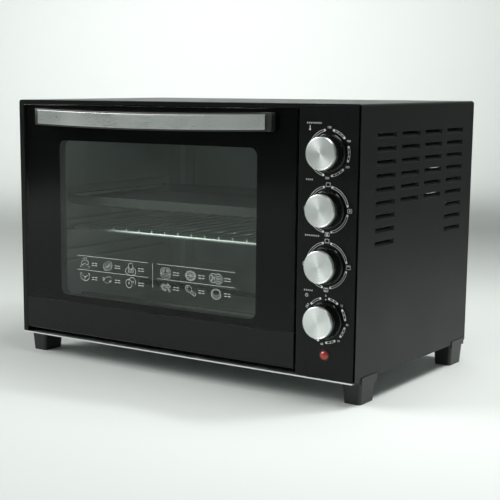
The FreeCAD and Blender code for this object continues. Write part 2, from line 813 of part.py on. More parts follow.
def timer_bell():
    """Domed bell on the back of the timer."""
    z = knob_heights[3]
    base = frame_back + timer_depth
    bell = rod_y(bell_radius, base, base + bell_depth, knob_x, z)
    back = [edge for edge in bell.Edges
            if abs(edge.CenterOfMass.y - base - bell_depth) < 1e-6 and edge.Closed]
    return bell.makeFillet(0.6 * bell_depth, back)


def switch_screws():
    screws = []
    for x, z in switch_screw_places():
        head = rod_y(2 * small_screw_radius, frame_plane - small_screw_head, frame_plane, x, z)
        shank = rod_y(small_screw_radius, frame_plane, frame_back + small_screw_length, x, z)
        screws.append(union([head, shank]))
    return group(screws)


def lamp_lens():
    """Domed red lens with a collar that sits behind the control panel."""
    stem = rod_y(lamp_radius, 0, lamp_body_depth, knob_x, lamp_z)
    sphere_radius = (lamp_radius ** 2 + lamp_dome ** 2) / (2 * lamp_dome)
    dome = Part.makeSphere(sphere_radius, FreeCAD.Vector(knob_x, sphere_radius - lamp_dome, lamp_z))
    dome = dome.common(rod_y(2 * lamp_radius, -2 * lamp_dome, 0, knob_x, lamp_z))
    collar = rod_y(lamp_radius + lamp_flange, panel_wall, panel_wall + lamp_flange_depth,
                   knob_x, lamp_z)
    return union([stem, dome, collar])


def lamp_holder():
    return rod_y(holder_radius, lamp_body_depth, lamp_body_depth + holder_length, knob_x, lamp_z)


# ---- drives -----------------------------------------------------------------------------------
fan_back = wall_outside + fan_housing_depth


def fan_housing():
    """Dish outside the cavity wall that the fan turns in."""
    dish = rod_x(fan_housing_radius, wall_outside, fan_back, fan_y, fan_z)
    hollow = rod_x(fan_housing_radius - sheet, wall_outside, fan_back - sheet, fan_y, fan_z)
    return dish.cut([hollow, rod_x(fan_shaft_radius + 1, wall_outside, fan_back, fan_y, fan_z)])


def fan_impeller():
    x0 = wall_outside + fan_wall_gap
    x1 = x0 + fan_depth
    hub = rod_x(fan_hub, x0, x1, fan_y, fan_z)
    disc = rod_x(fan_radius, x1 - sheet, x1, fan_y, fan_z)
    shaft = rod_x(fan_shaft_radius, x1, fan_back + fan_shaft_grip, fan_y, fan_z)
    pieces = [hub, disc, shaft]
    for i in range(fan_blades):
        blade = box(x0, x1, fan_y + 0.7 * fan_hub, fan_y + fan_radius - fan_blade_inset,
                    fan_z - sheet / 2, fan_z + sheet / 2)
        blade.rotate(FreeCAD.Vector(0, fan_y, fan_z), FreeCAD.Vector(1, 0, 0), 360 * i / fan_blades)
        pieces.append(blade)
    return union(pieces)


def fan_motor():
    body = rod_x(fan_motor_radius, fan_back, fan_back + fan_motor_length, fan_y, fan_z)
    return body.cut(rod_x(fan_shaft_radius + running, fan_back, fan_back + fan_shaft_grip + end_play,
                          fan_y, fan_z))


socket_end = cavity_right - socket_in_cavity + socket_length


def rotisserie_socket():
    """Drive socket with a square hole for a spit, on the motor's output shaft."""
    x0 = cavity_right - socket_in_cavity
    body = rod_x(socket_radius, x0, socket_end, spit_y, spit_z)
    shaft = rod_x(shaft_radius, socket_end, socket_end + socket_shaft_length, spit_y, spit_z)
    square = box(x0, socket_end - socket_in_cavity, spit_y - socket_square / 2,
                 spit_y + socket_square / 2, spit_z - socket_square / 2, spit_z + socket_square / 2)
    return union([body, shaft]).cut(square)


def rotisserie_motor():
    """Geared motor bolted to the outside of the cavity wall."""
    body = box(wall_outside, wall_outside + spit_motor_depth, spit_y - spit_motor_half_width,
               spit_y + spit_motor_half_width, spit_z - spit_motor_half_height,
               spit_z + spit_motor_half_height)
    well = rod_x(socket_radius + socket_clearance, wall_outside, socket_end + end_play, spit_y, spit_z)
    bore = rod_x(shaft_radius + running, wall_outside, socket_end + socket_shaft_length + end_play,
                 spit_y, spit_z)
    return body.cut([well, bore])


def spit_rest():
    """Notched bracket on the left wall that carries the free end of a spit."""
    top = spit_z + spit_notch + 2
    plate = box(cavity_left, cavity_left + spit_rest_reach, spit_y - spit_rest_width / 2,
                spit_y + spit_rest_width / 2, top - spit_rest_height, top)
    seat = rod_x(spit_notch, cavity_left, cavity_left + spit_rest_reach, spit_y, spit_z)
    mouth = box(cavity_left, cavity_left + spit_rest_reach, spit_y - spit_notch,
                spit_y + spit_notch, spit_z, top)
    return plate.cut([seat, mouth])


def cord_gland():
    """Flanged bush in the rear panel, for a mains cord."""
    panel_back = rear_panel_front + sheet
    tube = rod_y(gland_radius, rear_panel_front - gland_in, cabinet_depth + gland_out, gland_x, gland_z)
    outer = rod_y(gland_flange, panel_back, panel_back + gland_out / 3, gland_x, gland_z)
    inner = rod_y(gland_flange - 1, rear_panel_front - gland_out / 3, rear_panel_front,
                  gland_x, gland_z)
    bore = rod_y(gland_bore, rear_panel_front - gland_in, cabinet_depth + gland_out,
                 gland_x, gland_z)
    return union([tube, outer, inner]).cut(bore)


def terminal_block():
    """Screw terminal block on the cabinet floor, under the controls."""
    return box(knob_x - terminal_width / 2, knob_x + terminal_width / 2, spit_y,
               spit_y + terminal_length, sheet, sheet + terminal_height)


# ---- pieces -----------------------------------------------------------------------------------
pieces = {
    "outer_casing": outer_casing(), "front_frame": front_frame(), "rear_panel": rear_panel(),
    "bottom_plate": bottom_plate(), "casing_screws": casing_screws(), "trim_strip": trim_strip(),
    "foot_screws": foot_screws(), "cavity_left_wall": cavity_left_wall(),
    "cavity_right_wall": cavity_right_wall(), "cavity_roof": cavity_roof(),
    "cavity_floor": cavity_floor(), "cavity_back": cavity_back(),
    "heater_insulators": heater_insulators(), "wire_rack": wire_rack(),
    "baking_tray": baking_tray(), "door_glass": door_glass(),
    "door_inner_frame": door_inner_frame(), "door_lower_bar": door_lower_bar(),
    "handle_strip": handle_strip(), "handle_grip": handle_grip(), "handle_screws": handle_screws(),
    "hinge_brackets": hinge_brackets(), "hinge_pins": hinge_pins(),
    "control_panel": control_panel(), "thermostat_body": thermostat_body(),
    "mode_switch_body": mode_switch_body(), "heater_switch_body": heater_switch_body(),
    "timer_body": timer_body(), "timer_bell": timer_bell(), "switch_screws": switch_screws(),
    "lamp_lens": lamp_lens(), "lamp_holder": lamp_holder(), "fan_housing": fan_housing(),
    "fan_impeller": fan_impeller(), "fan_motor": fan_motor(),
    "rotisserie_socket": rotisserie_socket(), "rotisserie_motor": rotisserie_motor(),
    "spit_rest": spit_rest(), "cord_gland": cord_gland(), "terminal_block": terminal_block(),
}
for name, (x, y) in foot_middles().items():
    pieces[name] = foot(x, y)
for name, (y, z) in heater_places.items():
    pieces[name] = heater(y, z)
for name, z in zip(knob_names, knob_heights):
    pieces[name + "_knob"] = knob(z)
    pieces[name + "_knob_cap"] = knob_cap(z)
    pieces[name + "_shaft"] = knob_shaft(z)

os.makedirs("parts", exist_ok=True)
for name, shape in pieces.items():
    shape.translate(shift)
    shape.exportStep("parts/" + name + ".step")
    box_size = shape.BoundBox
    print(f"{name:22s} solids {len(shape.Solids)}  valid {shape.isValid()}  "
          f"volume {shape.Volume / 1000:8.1f} cm3  "
          f"x {box_size.XMin:7.1f} {box_size.XMax:7.1f}  y {box_size.YMin:7.1f} {box_size.YMax:7.1f}  "
          f"z {box_size.ZMin:6.1f} {box_size.ZMax:6.1f}")
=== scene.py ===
import json
import math

import bmesh
import bpy
from bpy.props import FloatProperty, FloatVectorProperty, IntProperty, PointerProperty
from bpy.types import Operator, Panel, PropertyGroup
from mathutils import Matrix, Vector


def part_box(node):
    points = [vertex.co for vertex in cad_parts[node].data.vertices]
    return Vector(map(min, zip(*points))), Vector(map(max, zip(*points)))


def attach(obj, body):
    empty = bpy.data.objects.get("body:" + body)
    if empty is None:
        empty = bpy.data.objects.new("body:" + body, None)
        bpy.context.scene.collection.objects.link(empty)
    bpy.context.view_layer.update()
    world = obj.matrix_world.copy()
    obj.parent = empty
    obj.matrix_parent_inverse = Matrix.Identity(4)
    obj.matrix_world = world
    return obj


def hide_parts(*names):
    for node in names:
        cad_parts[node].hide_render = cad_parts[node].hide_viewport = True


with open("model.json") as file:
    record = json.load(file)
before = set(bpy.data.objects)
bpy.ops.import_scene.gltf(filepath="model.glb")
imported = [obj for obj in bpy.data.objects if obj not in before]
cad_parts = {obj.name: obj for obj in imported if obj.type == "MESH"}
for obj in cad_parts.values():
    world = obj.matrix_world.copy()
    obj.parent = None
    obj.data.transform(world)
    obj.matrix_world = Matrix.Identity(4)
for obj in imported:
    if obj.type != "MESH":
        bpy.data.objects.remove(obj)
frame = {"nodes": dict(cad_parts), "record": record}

bl_info = {
    "name": "Toaster Oven Builder",
    "version": (1, 0, 0),
    "blender": (4, 5, 0),
    "location": "3D View > Sidebar > Oven",
    "description": "Adds the finished pieces of a countertop oven around its frame",
    "category": "Object",
}

MM = 0.001
SHEET = 0.6 * MM                  # steel sheet of the casing and the tray
INK = 0.05 * MM                   # thickness of every printed mark
QUARTER = math.pi / 2
SIDES = (-1, 1)
UPRIGHT = Matrix.Rotation(QUARTER, 4, "X")   # turns a flat shape to face the front
WELD = 0.001 * MM                 # corners closer than this are one

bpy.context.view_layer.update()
CASING_LOW, CASING_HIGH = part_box("outer_casing")
GLASS_LOW, GLASS_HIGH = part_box("door_glass")
PANEL_LOW, PANEL_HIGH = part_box("control_panel")
FRONT = PANEL_LOW.y               # plane of the control panel's face and of the door glass

LOUVRE_FRONT = 41.0 * MM          # casing's front edge to the first louvre
LOUVRE_COLUMN_PITCH = 65.0 * MM
LOUVRE_LENGTH = 49.5 * MM
LOUVRE_TOP_GAP = 36.0 * MM        # casing's top to the middle of the highest louvre
LOUVRE_PITCH = 16.15 * MM
LOUVRE_ROWS = (9, 6, 6, 9)        # louvres in each column, front to back
LOUVRE_BELOW = 5.0 * MM           # pressed part, below and above the louvre's middle
LOUVRE_ABOVE = 1.6 * MM
LOUVRE_END = 3.6 * MM             # slope of the pressed part's ends
LOUVRE_GAP = 0.7 * MM             # drop of the pressed part's edge under the slot's upper edge
REAR_FLANGE = 10.0 * MM           # casing edge turned in at the back

BEAD_INSET = 17.7 * MM            # cavity corner to the middle of the bead in its back
BEAD_WIDTH = 10.0 * MM
BEAD_RISE = 1.6 * MM
BEAD_END = 8.0 * MM               # flat part above and below each bead

KNOBS = ("temperature", "mode", "heater", "timer")

# Door window, as margins from the edges of the glass
WINDOW_LEFT = 61.0 * MM
WINDOW_RIGHT = 59.0 * MM
WINDOW_LOW = 9.5 * MM
WINDOW_TOP = 48.5 * MM
WINDOW_CORNER = 10.0 * MM

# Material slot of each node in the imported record
NODE_SLOTS = {part["node"]: part["material_slot"] for part in frame["record"]["subparts"]}


# ---- sizes and colours that a user would change
class OVEN_PG_looks(PropertyGroup):
    louvre_depth: FloatProperty(
        name="Louvre depth", description="How far each louvre is pressed in",
        default=4.0 * MM, min=0.0, unit="LENGTH")
    casing_bend: FloatProperty(
        name="Casing bend", description="Outer radius of the casing's two long top bends",
        default=4.0 * MM, min=0.0, unit="LENGTH")
    strip_chamfer: FloatProperty(
        name="Strip chamfer", description="Polished edge around the metal strip of the handle",
        default=0.35 * MM, min=0.0, unit="LENGTH")
    handle_droop: FloatProperty(
        name="Handle droop", description="How far the handle's middle hangs below its ends",
        default=2.4 * MM, min=0.0, unit="LENGTH")
    print_width: FloatProperty(
        name="Print line", description="Width of the printed lines around the dials",
        default=0.42 * MM, min=0.0, unit="LENGTH")
    legend_width: FloatProperty(
        name="Legend line", description="Width of the printed lines on the window",
        default=0.6 * MM, min=0.0, unit="LENGTH")
    knob_steps: IntProperty(
        name="Knob facets", description="Faces around each turned knob and cap",
        default=96, min=16)
    enamel: FloatVectorProperty(
        name="Enamel", description="Colour of the casing's enamel",
        default=(0.0060, 0.0064, 0.0062), size=3, subtype="COLOR")
    fascia: FloatVectorProperty(
        name="Fascia", description="Colour of the control panel and the door's black parts",
        default=(0.0045, 0.0052, 0.0055), size=3, subtype="COLOR")
    metal: FloatVectorProperty(
        name="Metal", description="Colour of the handle strip and the knob caps",
        default=(0.80, 0.83, 0.81), size=3, subtype="COLOR")
    ink: FloatVectorProperty(
        name="Ink", description="Colour of the printed marks",
        default=(0.84, 0.88, 0.86), size=3, subtype="COLOR")
    lamp: FloatVectorProperty(
        name="Lamp", description="Colour of the pilot lamp",
        default=(0.34, 0.035, 0.022), size=3, subtype="COLOR")
    window: FloatVectorProperty(
        name="Window", description="Tint of the door glass",
        default=(0.90, 0.93, 0.91), size=3, subtype="COLOR")
    backdrop: FloatVectorProperty(
        name="Backdrop", description="Colour of the studio floor and backdrop",
        default=(0.60, 0.63, 0.61), size=3, subtype="COLOR")


def looks():
    return bpy.context.scene.oven_looks


# ---- finishes
def add(tree, kind, values=None, **settings):
    """A new node: settings are its own options, values its inputs, each a number or a socket."""
    made = tree.nodes.new("ShaderNode" + kind)
    for key, value in settings.items():
        setattr(made, key, value)
    for key, value in (values or {}).items():
        if isinstance(value, bpy.types.NodeSocket):
            tree.links.new(value, made.inputs[key])
        else:
            made.inputs[key].default_value = value
    return made


def blank(name):
    """The empty node tree of a new material."""
    material = bpy.data.materials.new(name)
    material.use_nodes = True
    material.node_tree.nodes.clear()
    return material.node_tree


def surface(tree, shader):
    add(tree, "OutputMaterial", {"Surface": shader.outputs[0]})


def maths(tree, operation, first, second):
    return add(tree, "Math", {0: first, 1: second}, operation=operation).outputs[0]


def relief(tree, height, strength, depth):
    return add(tree, "Bump", {"Strength": strength, "Distance": depth,
                              "Height": height}).outputs["Normal"]


def noise(tree, scale, stretch=(1, 1, 1), detail=2.0, source="Object"):
    """Noise on the piece's own coordinates, stretched along its axes."""
    place = add(tree, "TexCoord").outputs[source]
    turned_place = add(tree, "Mapping", {"Vector": place, "Scale": stretch}).outputs["Vector"]
    return add(tree, "TexNoise", {"Vector": turned_place, "Scale": scale,
                                  "Detail": detail}).outputs["Fac"]


def spread(tree, value, low, high, start=0.3, end=0.7):
    """A 0 to 1 pattern spread between two numbers."""
    return add(tree, "MapRange", {"Value": value, "From Min": start, "From Max": end,
                                  "To Min": low, "To Max": high}).outputs["Result"]


def blend_colours(tree, factor, first, second):
    mix = add(tree, "Mix", {0: factor}, data_type="RGBA")
    for socket, colour in ((mix.inputs[6], first), (mix.inputs[7], second)):
        if isinstance(colour, bpy.types.NodeSocket):
            tree.links.new(colour, socket)
        else:
            socket.default_value = (*colour, 1.0)
    return mix.outputs[2]


def edges(tree, radius):
    """1 along sharp edges and corners, 0 on flat faces."""
    soft = add(tree, "Bevel", {"Radius": radius}, samples=4).outputs["Normal"]
    flat = add(tree, "NewGeometry").outputs["Normal"]
    match = add(tree, "VectorMath", {0: soft, 1: flat}, operation="DOT_PRODUCT").outputs["Value"]
    return add(tree, "MapRange", {"Value": match, "From Min": 0.99, "From Max": 0.86,
                                  "To Min": 0.0, "To Max": 1.0}).outputs["Result"]


def varied(tree, pattern, colour, dark, light):
    """A colour that a pattern takes from a darker to a lighter shade of itself."""
    shades = [[min(1.0, factor * channel) for channel in colour] for factor in (dark, light)]
    return blend_colours(tree, spread(tree, pattern, 0.0, 1.0), *shades)


def finish(name, colour, roughness, metallic=0.0, grain=900.0, stretch=(1, 1, 1), bump=0.05,
           depth=0.02 * MM, mottle=0.12, mottle_scale=14.0, uneven=0.05, wear=0.0,
           worn=(0.10, 0.105, 0.105), anisotropic=0.0, specular=0.5, scatter="MULTI_GGX"):
    """Procedural finish: broad colour variation, fine grain in roughness and relief, rubbed edges."""
    tree = blank(name)
    broad = noise(tree, mottle_scale)
    fine = noise(tree, grain, stretch, 3.0)
    shade = varied(tree, broad, colour, 1 - mottle, 1 + mottle)
    if wear:
        rubbed = maths(tree, "MULTIPLY", edges(tree, 0.9 * MM), spread(tree, fine, 0.4 * wear, wear))
        shade = blend_colours(tree, rubbed, shade, worn)
    both = maths(tree, "ADD", fine, broad)
    rough = spread(tree, both, max(0.02, roughness - uneven), roughness + uneven, 0.7, 1.3)
    shader = add(tree, "BsdfPrincipled", {
        "Base Color": shade, "Roughness": rough, "Metallic": metallic,
        "Normal": relief(tree, fine, bump, depth),
        "Anisotropic": anisotropic, "Specular IOR Level": specular},
        distribution=scatter)
    surface(tree, shader)


def cap_finish(name, colour):
    """Turned aluminium: fine rings cut around the cap, which throw bright and dark wedges."""
    tree = blank(name)
    rings = noise(tree, 1.0, (0.0, 900.0, 0.0), 4.0, "UV")
    broad = noise(tree, 40.0)
    shade = varied(tree, rings, colour, 0.9, 1.12)
    both = maths(tree, "ADD", rings, broad)
    around = add(tree, "Tangent", direction_type="UV_MAP", uv_map="turned").outputs["Tangent"]
    shader = add(tree, "BsdfPrincipled", {
        "Base Color": shade, "Roughness": spread(tree, both, 0.30, 0.42, 0.7, 1.3), "Metallic": 1.0,
        "Normal": relief(tree, rings, 0.12, 0.02 * MM), "Anisotropic": 0.6,
        "Anisotropic Rotation": 0.25, "Tangent": around})
    surface(tree, shader)


def glass_finish(name, tint):
    """Thin tinted pane: it reflects at its faces and lets tinted light straight through."""
    tree = blank(name)
    haze = spread(tree, noise(tree, 9.0), 0.93, 1.0)
    shade = add(tree, "VectorMath", {0: tint, "Scale": haze}, operation="SCALE").outputs["Vector"]
    through = add(tree, "BsdfTransparent", {"Color": shade})
    smears = spread(tree, noise(tree, 22.0), 0.015, 0.05)
    mirror = add(tree, "BsdfGlossy", {"Color": (1, 1, 1, 1), "Roughness": smears})
    back = add(tree, "NewGeometry").outputs["Backfacing"]
    facing = maths(tree, "SUBTRACT", 1.0, back)
    gloss = maths(tree, "MULTIPLY", add(tree, "Fresnel", {"IOR": 1.28}).outputs[0], facing)
    both = add(tree, "MixShader", {0: gloss, 1: through.outputs[0], 2: mirror.outputs[0]})
    surface(tree, both)


def film_finish(name, tint, colour, cover):
    """Tinted film on the inside of the window with a faint grey bloom, denser in patches."""
    tree = blank(name)
    dense = spread(tree, noise(tree, 7.0), 0.88 * cover, 1.12 * cover)
    clear = add(tree, "BsdfTransparent", {"Color": (*tint, 1.0)})
    dust = add(tree, "BsdfDiffuse", {"Color": (*colour, 1.0)})
    both = add(tree, "MixShader", {0: dense, 1: clear.outputs[0], 2: dust.outputs[0]})
    surface(tree, both)


def lamp_finish(name, colour):
    """Red plastic lens with a faint moulded ring pattern."""
    tree = blank(name)
    fine = noise(tree, 700.0)
    shader = add(tree, "BsdfPrincipled", {
        "Base Color": varied(tree, fine, colour, 0.8, 1.2), "Roughness": spread(tree, fine, 0.16, 0.3),
        "Normal": relief(tree, fine, 0.1, 0.05 * MM),
        "Coat Weight": 0.4, "Subsurface Weight": 0.15, "Subsurface Scale": 2.0 * MM,
        "Emission Color": (*colour, 1.0), "Emission Strength": 0.12})
    surface(tree, shader)


def heater_finish(name):
    """Steel sheath, heat-tinted brown in bands along its length."""
    tree = blank(name)
    bands = noise(tree, 9.0, (4, 1, 1))
    fine = noise(tree, 600.0)
    shade = blend_colours(tree, spread(tree, bands, 0.0, 1.0), (0.045, 0.044, 0.042),
                          (0.075, 0.066, 0.056))
    shader = add(tree, "BsdfPrincipled", {
        "Base Color": shade, "Roughness": spread(tree, fine, 0.5, 0.7), "Metallic": 0.6,
        "Normal": relief(tree, fine, 0.15, 0.04 * MM)})
    surface(tree, shader)


def make_finishes():
    """One material for each slot of the record, and those of the new pieces."""
    look = looks()
    enamel, fascia, metal = tuple(look.enamel), tuple(look.fascia), tuple(look.metal)
    for name, colour, roughness, more in (
            ("black_enamel", enamel, 0.36, dict(grain=700.0, bump=0.10, wear=0.3, specular=0.22,
                scatter="GGX")),
            ("frame_black", fascia, 0.25, dict(grain=700.0, bump=0.06, wear=0.25, specular=0.2)),
            ("rear_zinc", (0.03, 0.031, 0.031), 0.45, dict(grain=700.0, bump=0.1, wear=0.3)),
            ("floor_zinc", (0.48, 0.49, 0.50), 0.42, dict(metallic=0.9, grain=160.0, mottle=0.25,
                mottle_scale=60.0, uneven=0.12)),
            ("screw_steel", (0.52, 0.52, 0.50), 0.34, dict(metallic=0.95, grain=1800.0, bump=0.1)),
            ("trim_chrome", (0.80, 0.82, 0.80), 0.24, dict(metallic=1.0, grain=60.0,
                stretch=(1, 40, 40), mottle=0.04)),
            ("cavity_steel", (0.75, 0.765, 0.76), 0.42, dict(metallic=0.35, grain=500.0, bump=0.08,
                mottle=0.1, uneven=0.08)),
            # near-white copy of cavity_steel for the beads: a painted highlight standing in for the
            # bright reflection bars on the cavity's back
            ("bead_steel", (0.96, 0.965, 0.96), 0.36, dict(metallic=0.1, grain=500.0, bump=0.04)),
            ("ceramic_bush", (0.80, 0.77, 0.70), 0.7, dict(grain=1500.0, bump=0.25)),
            ("rack_chrome", (0.88, 0.89, 0.88), 0.46, dict(metallic=1.0, grain=400.0, bump=0.03,
                mottle=0.06)),
            ("tray_enamel", (0.085, 0.088, 0.086), 0.48, dict(grain=1200.0, bump=0.15, mottle=0.2,
                wear=0.4, worn=(0.16, 0.16, 0.16))),
            ("black_print", (0.0035, 0.004, 0.0042), 0.6, dict(grain=2000.0, bump=0.02, specular=0.0)),
            ("white_print", tuple(look.ink), 0.55, dict(grain=2500.0, bump=0.1, mottle=0.1,
                mottle_scale=90.0)),
            ("door_frame_black", (0.012, 0.0125, 0.0125), 0.4, dict(grain=700.0, bump=0.1, wear=0.3)),
            ("door_bar_black", fascia, 0.3, dict(grain=1100.0, bump=0.08, wear=0.25, specular=0.26)),
            ("handle_steel", metal, 0.3, dict(metallic=1.0, grain=30.0, stretch=(1, 60, 60), bump=0.12,
                depth=0.03 * MM, mottle=0.07, mottle_scale=9.0, wear=0.5, worn=(0.85, 0.87, 0.85),
                anisotropic=0.3)),
            ("handle_black", (0.010, 0.0105, 0.011), 0.45, dict(grain=1500.0, bump=0.08, wear=0.35)),
            ("hinge_steel", (0.75, 0.76, 0.75), 0.2, dict(metallic=1.0, grain=900.0, bump=0.05)),
            ("panel_black", fascia, 0.26, dict(grain=1300.0, bump=0.05, wear=0.3, specular=0.2)),
            ("switch_plastic", (0.05, 0.05, 0.055), 0.5, dict(grain=1500.0, bump=0.2)),
            ("bell_steel", (0.55, 0.55, 0.53), 0.25, dict(metallic=1.0, grain=500.0, bump=0.05)),
            ("lamp_holder_white", (0.7, 0.68, 0.62), 0.5, dict(grain=1500.0)),
            ("knob_black", (0.005, 0.005, 0.0055), 0.06, dict(grain=1600.0, bump=0.02, uneven=0.03)),
            ("shaft_brass", (0.62, 0.45, 0.20), 0.3, dict(metallic=1.0, grain=900.0, bump=0.08)),
            ("fan_aluminium", (0.6, 0.6, 0.6), 0.35, dict(metallic=1.0, grain=300.0, bump=0.1)),
            ("motor_steel", (0.10, 0.10, 0.10), 0.62, dict(metallic=0.3, grain=400.0, bump=0.1,
                mottle=0.2)),
            ("gland_plastic", (0.012, 0.012, 0.013), 0.5, dict(grain=1800.0, bump=0.25)),
            ("foot_plastic", (0.010, 0.0105, 0.011), 0.38, dict(grain=1600.0, bump=0.2, wear=0.35,
                worn=(0.06, 0.062, 0.062)))):
        finish(name, colour, roughness, **more)
    heater_finish("heater_sheath")
    glass_finish("door_glass", (0.96, 0.97, 0.965))
    film_finish("window_film", tuple(look.window), (0.50, 0.54, 0.52), 0.036)
    lamp_finish("lamp_red", tuple(look.lamp))
    cap_finish("cap_aluminium", metal)


# ---- mesh helpers
def weld(bm):
    bmesh.ops.remove_doubles(bm, verts=bm.verts, dist=WELD)


def face_up(bm, chosen=None):
    """Make the normals agree; a face given has to end up looking upward."""
    bmesh.ops.recalc_face_normals(bm, faces=bm.faces)
    if chosen and chosen.normal.z < 0:
        bmesh.ops.reverse_faces(bm, faces=bm.faces)


def verts_of(geom):
    return [part for part in geom if isinstance(part, bmesh.types.BMVert)]


def add_mesh(bm, mesh):
    """Move a mesh into a bmesh."""
    bm.from_mesh(mesh)
    bpy.data.meshes.remove(mesh)


def drawn(curve):
    """A curve or text as a mesh."""
    holder = bpy.data.objects.new("drawn", curve)
    bpy.context.scene.collection.objects.link(holder)
    bpy.context.view_layer.update()
    mesh = bpy.data.meshes.new_from_object(holder)
    bpy.data.objects.remove(holder)
    bpy.data.curves.remove(curve)
    return mesh


def rectangle(bm, middle, width, height, turn=Matrix()):
    """One new face around a point; returns its corners."""
    place = Matrix.Translation(middle) @ turn @ Matrix.Diagonal((width, height, 1, 1))
    return bmesh.ops.create_grid(bm, x_segments=1, y_segments=1, size=0.5, matrix=place)["verts"]


def piece(name, bm, body, slot, nodes=(), material=None, sharp=32.0, settled=False):
    """Turn a bmesh into a finished piece that rides on a body and stands for CAD nodes."""
    if not settled:
        weld(bm)
        face_up(bm)
    mesh = bpy.data.meshes.new(name)
    bm.to_mesh(mesh)
    bm.free()
    mesh.shade_smooth()
    mesh.set_sharp_from_angle(angle=math.radians(sharp))
    mesh.materials.append(bpy.data.materials[material or slot])
    made = bpy.data.objects.new(name, mesh)
    bpy.context.scene.collection.objects.link(made)
    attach(made, body)
    if nodes:
        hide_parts(*nodes)
    return made


def block(low, high, bm=None):
    """A box between two corners, as the new faces of a bmesh."""
    bm = bm or bmesh.new()
    place = Matrix.Translation((low + high) / 2) @ Matrix.Diagonal((*(high - low), 1.0))
    verts = bmesh.ops.create_cube(bm, size=1.0, matrix=place)["verts"]
    return bm, verts


def runs_along(edge, axis):
    """True if an edge is parallel to an axis (0 = X, 1 = Y, 2 = Z)."""
    run = edge.verts[1].co - edge.verts[0].co
    return abs(run[axis]) > 0.999 * run.length


def round_edges(bm, chosen, radius, segments):
    bmesh.ops.bevel(bm, geom=chosen, offset=radius, offset_type="OFFSET", segments=segments,
                    profile=0.5, affect="EDGES", clamp_overlap=True, material=-1)


def round_corners(bm, verts, radius, segments):
    bmesh.ops.bevel(bm, geom=verts, offset=radius, offset_type="OFFSET", segments=segments,
                    profile=0.5, affect="VERTICES", clamp_overlap=True, material=-1)


def cut(bm, place, normal, clear=False, faces=None):
    """Cut the faces given, or all, along a plane; clear what is on the normal's side if asked."""
    if faces is None:
        geom = bm.verts[:] + bm.edges[:] + bm.faces[:]
    else:
        geom = list({part for face in faces for part in (*face.verts, *face.edges, face)})
    bmesh.ops.bisect_plane(bm, geom=geom, plane_co=place, plane_no=normal, dist=1e-7,
                           clear_outer=clear)


def spun(points, centre, axis, steps):
    """Surface swept once round an axis by a line through the points."""
    bm = bmesh.new()
    verts = [bm.verts.new(point) for point in points]
    lines = [bm.edges.new(pair) for pair in zip(verts, verts[1:])]
    bmesh.ops.spin(bm, geom=verts + lines, cent=centre, axis=axis, angle=2 * math.pi, steps=steps,
                   use_merge=True)
    weld(bm)
    return bm


def turned(profile, centre, steps):
    """Solid turned about Y: profile points are (radius, distance out from the centre), in mm."""
    return spun([(centre.x + radius * MM, centre.y - out * MM, centre.z) for radius, out in profile],
                centre, (0, 1, 0), steps)


def soften(made, width, segments=2, angle=35.0):
    """Bevel modifier on the sharp edges of a piece."""
    bevel = made.modifiers.new("soft_edges", "BEVEL")
    bevel.width = width
    bevel.segments = segments
    bevel.limit_method = "ANGLE"
    bevel.angle_limit = math.radians(angle)
    bevel.harden_normals = True


def thicken(made, thickness):
    """Solidify modifier: gives a sheet its wall, on its inner side."""
    wall = made.modifiers.new("wall", "SOLIDIFY")
    wall.thickness = thickness
    wall.offset = -1.0
    wall.use_even_offset = True


# ---- printed marks: flat strokes in a plane that faces the front
def bar(bm, plane, start, end, width):
    """Straight stroke between two (x, z) points."""
    middle = ((start[0] + end[0]) / 2, plane, (start[1] + end[1]) / 2)
    dx, dz = end[0] - start[0], end[1] - start[1]
    rectangle(bm, middle, math.hypot(dx, dz), width,
              Matrix.Rotation(-math.atan2(dz, dx), 4, "Y") @ UPRIGHT)


def arc(bm, plane, centre, radius, width, flat=1.0, tilt=0.0, start=0.0, end=360.0):
    """Curved stroke: angles in degrees clockwise from the top, flat is its height over its width."""
    middle = Vector((centre[0], plane, centre[1]))
    angle = math.radians(start)
    way = Vector((math.sin(angle), 0, math.cos(angle)))
    ends = [bm.verts.new(middle + way * (radius + side * width / 2)) for side in SIDES]
    line = bm.edges.new(ends)
    steps = max(3, int(abs(end - start) / 12))
    before = set(bm.verts) - set(ends)
    bmesh.ops.spin(bm, geom=ends + [line], cent=middle, axis=(0, 1, 0),
                   angle=math.radians(end - start), steps=steps, use_merge=abs(end - start) >= 360)
    new = [v for v in bm.verts if v not in before]
    squeeze = Matrix.Rotation(math.radians(tilt), 4, "Y") @ Matrix.Diagonal((1, 1, flat, 1))
    bmesh.ops.transform(bm, matrix=squeeze, space=Matrix.Translation(-middle), verts=new)


def dot(bm, plane, centre, radius):
    place = Matrix.Translation((centre[0], plane, centre[1])) @ UPRIGHT
    bmesh.ops.create_circle(bm, cap_ends=True, segments=14, radius=radius, matrix=place)


def numeral(bm, plane, centre, text, height):
    """Digits, made a mesh before they are placed."""
    curve = bpy.data.curves.new("numeral", "FONT")
    curve.body, curve.size, curve.resolution_u = text, height, 3
    curve.align_x, curve.align_y = "CENTER", "CENTER"
    mesh = drawn(curve)
    mesh.transform(Matrix.Translation((centre[0], plane, centre[1])) @ UPRIGHT)
    add_mesh(bm, mesh)


def inked(name, bm, body, slot, material):
    """Give flat strokes the thickness of the ink, and finish them."""
    bm.normal_update()
    for face in bm.faces:
        if face.normal.y > 0:
            face.normal_flip()
    bmesh.ops.solidify(bm, geom=bm.faces[:], thickness=INK)
    face_up(bm)
    piece(name, bm, body, slot, material=material, settled=True)


# ---- casing
def louvre_places():
    """(front y, middle z) of each louvre on one side."""
    return [(CASING_LOW.y + LOUVRE_FRONT + column * LOUVRE_COLUMN_PITCH,
             CASING_HIGH.z - LOUVRE_TOP_GAP - row * LOUVRE_PITCH)
            for column, rows in enumerate(LOUVRE_ROWS) for row in range(rows)]


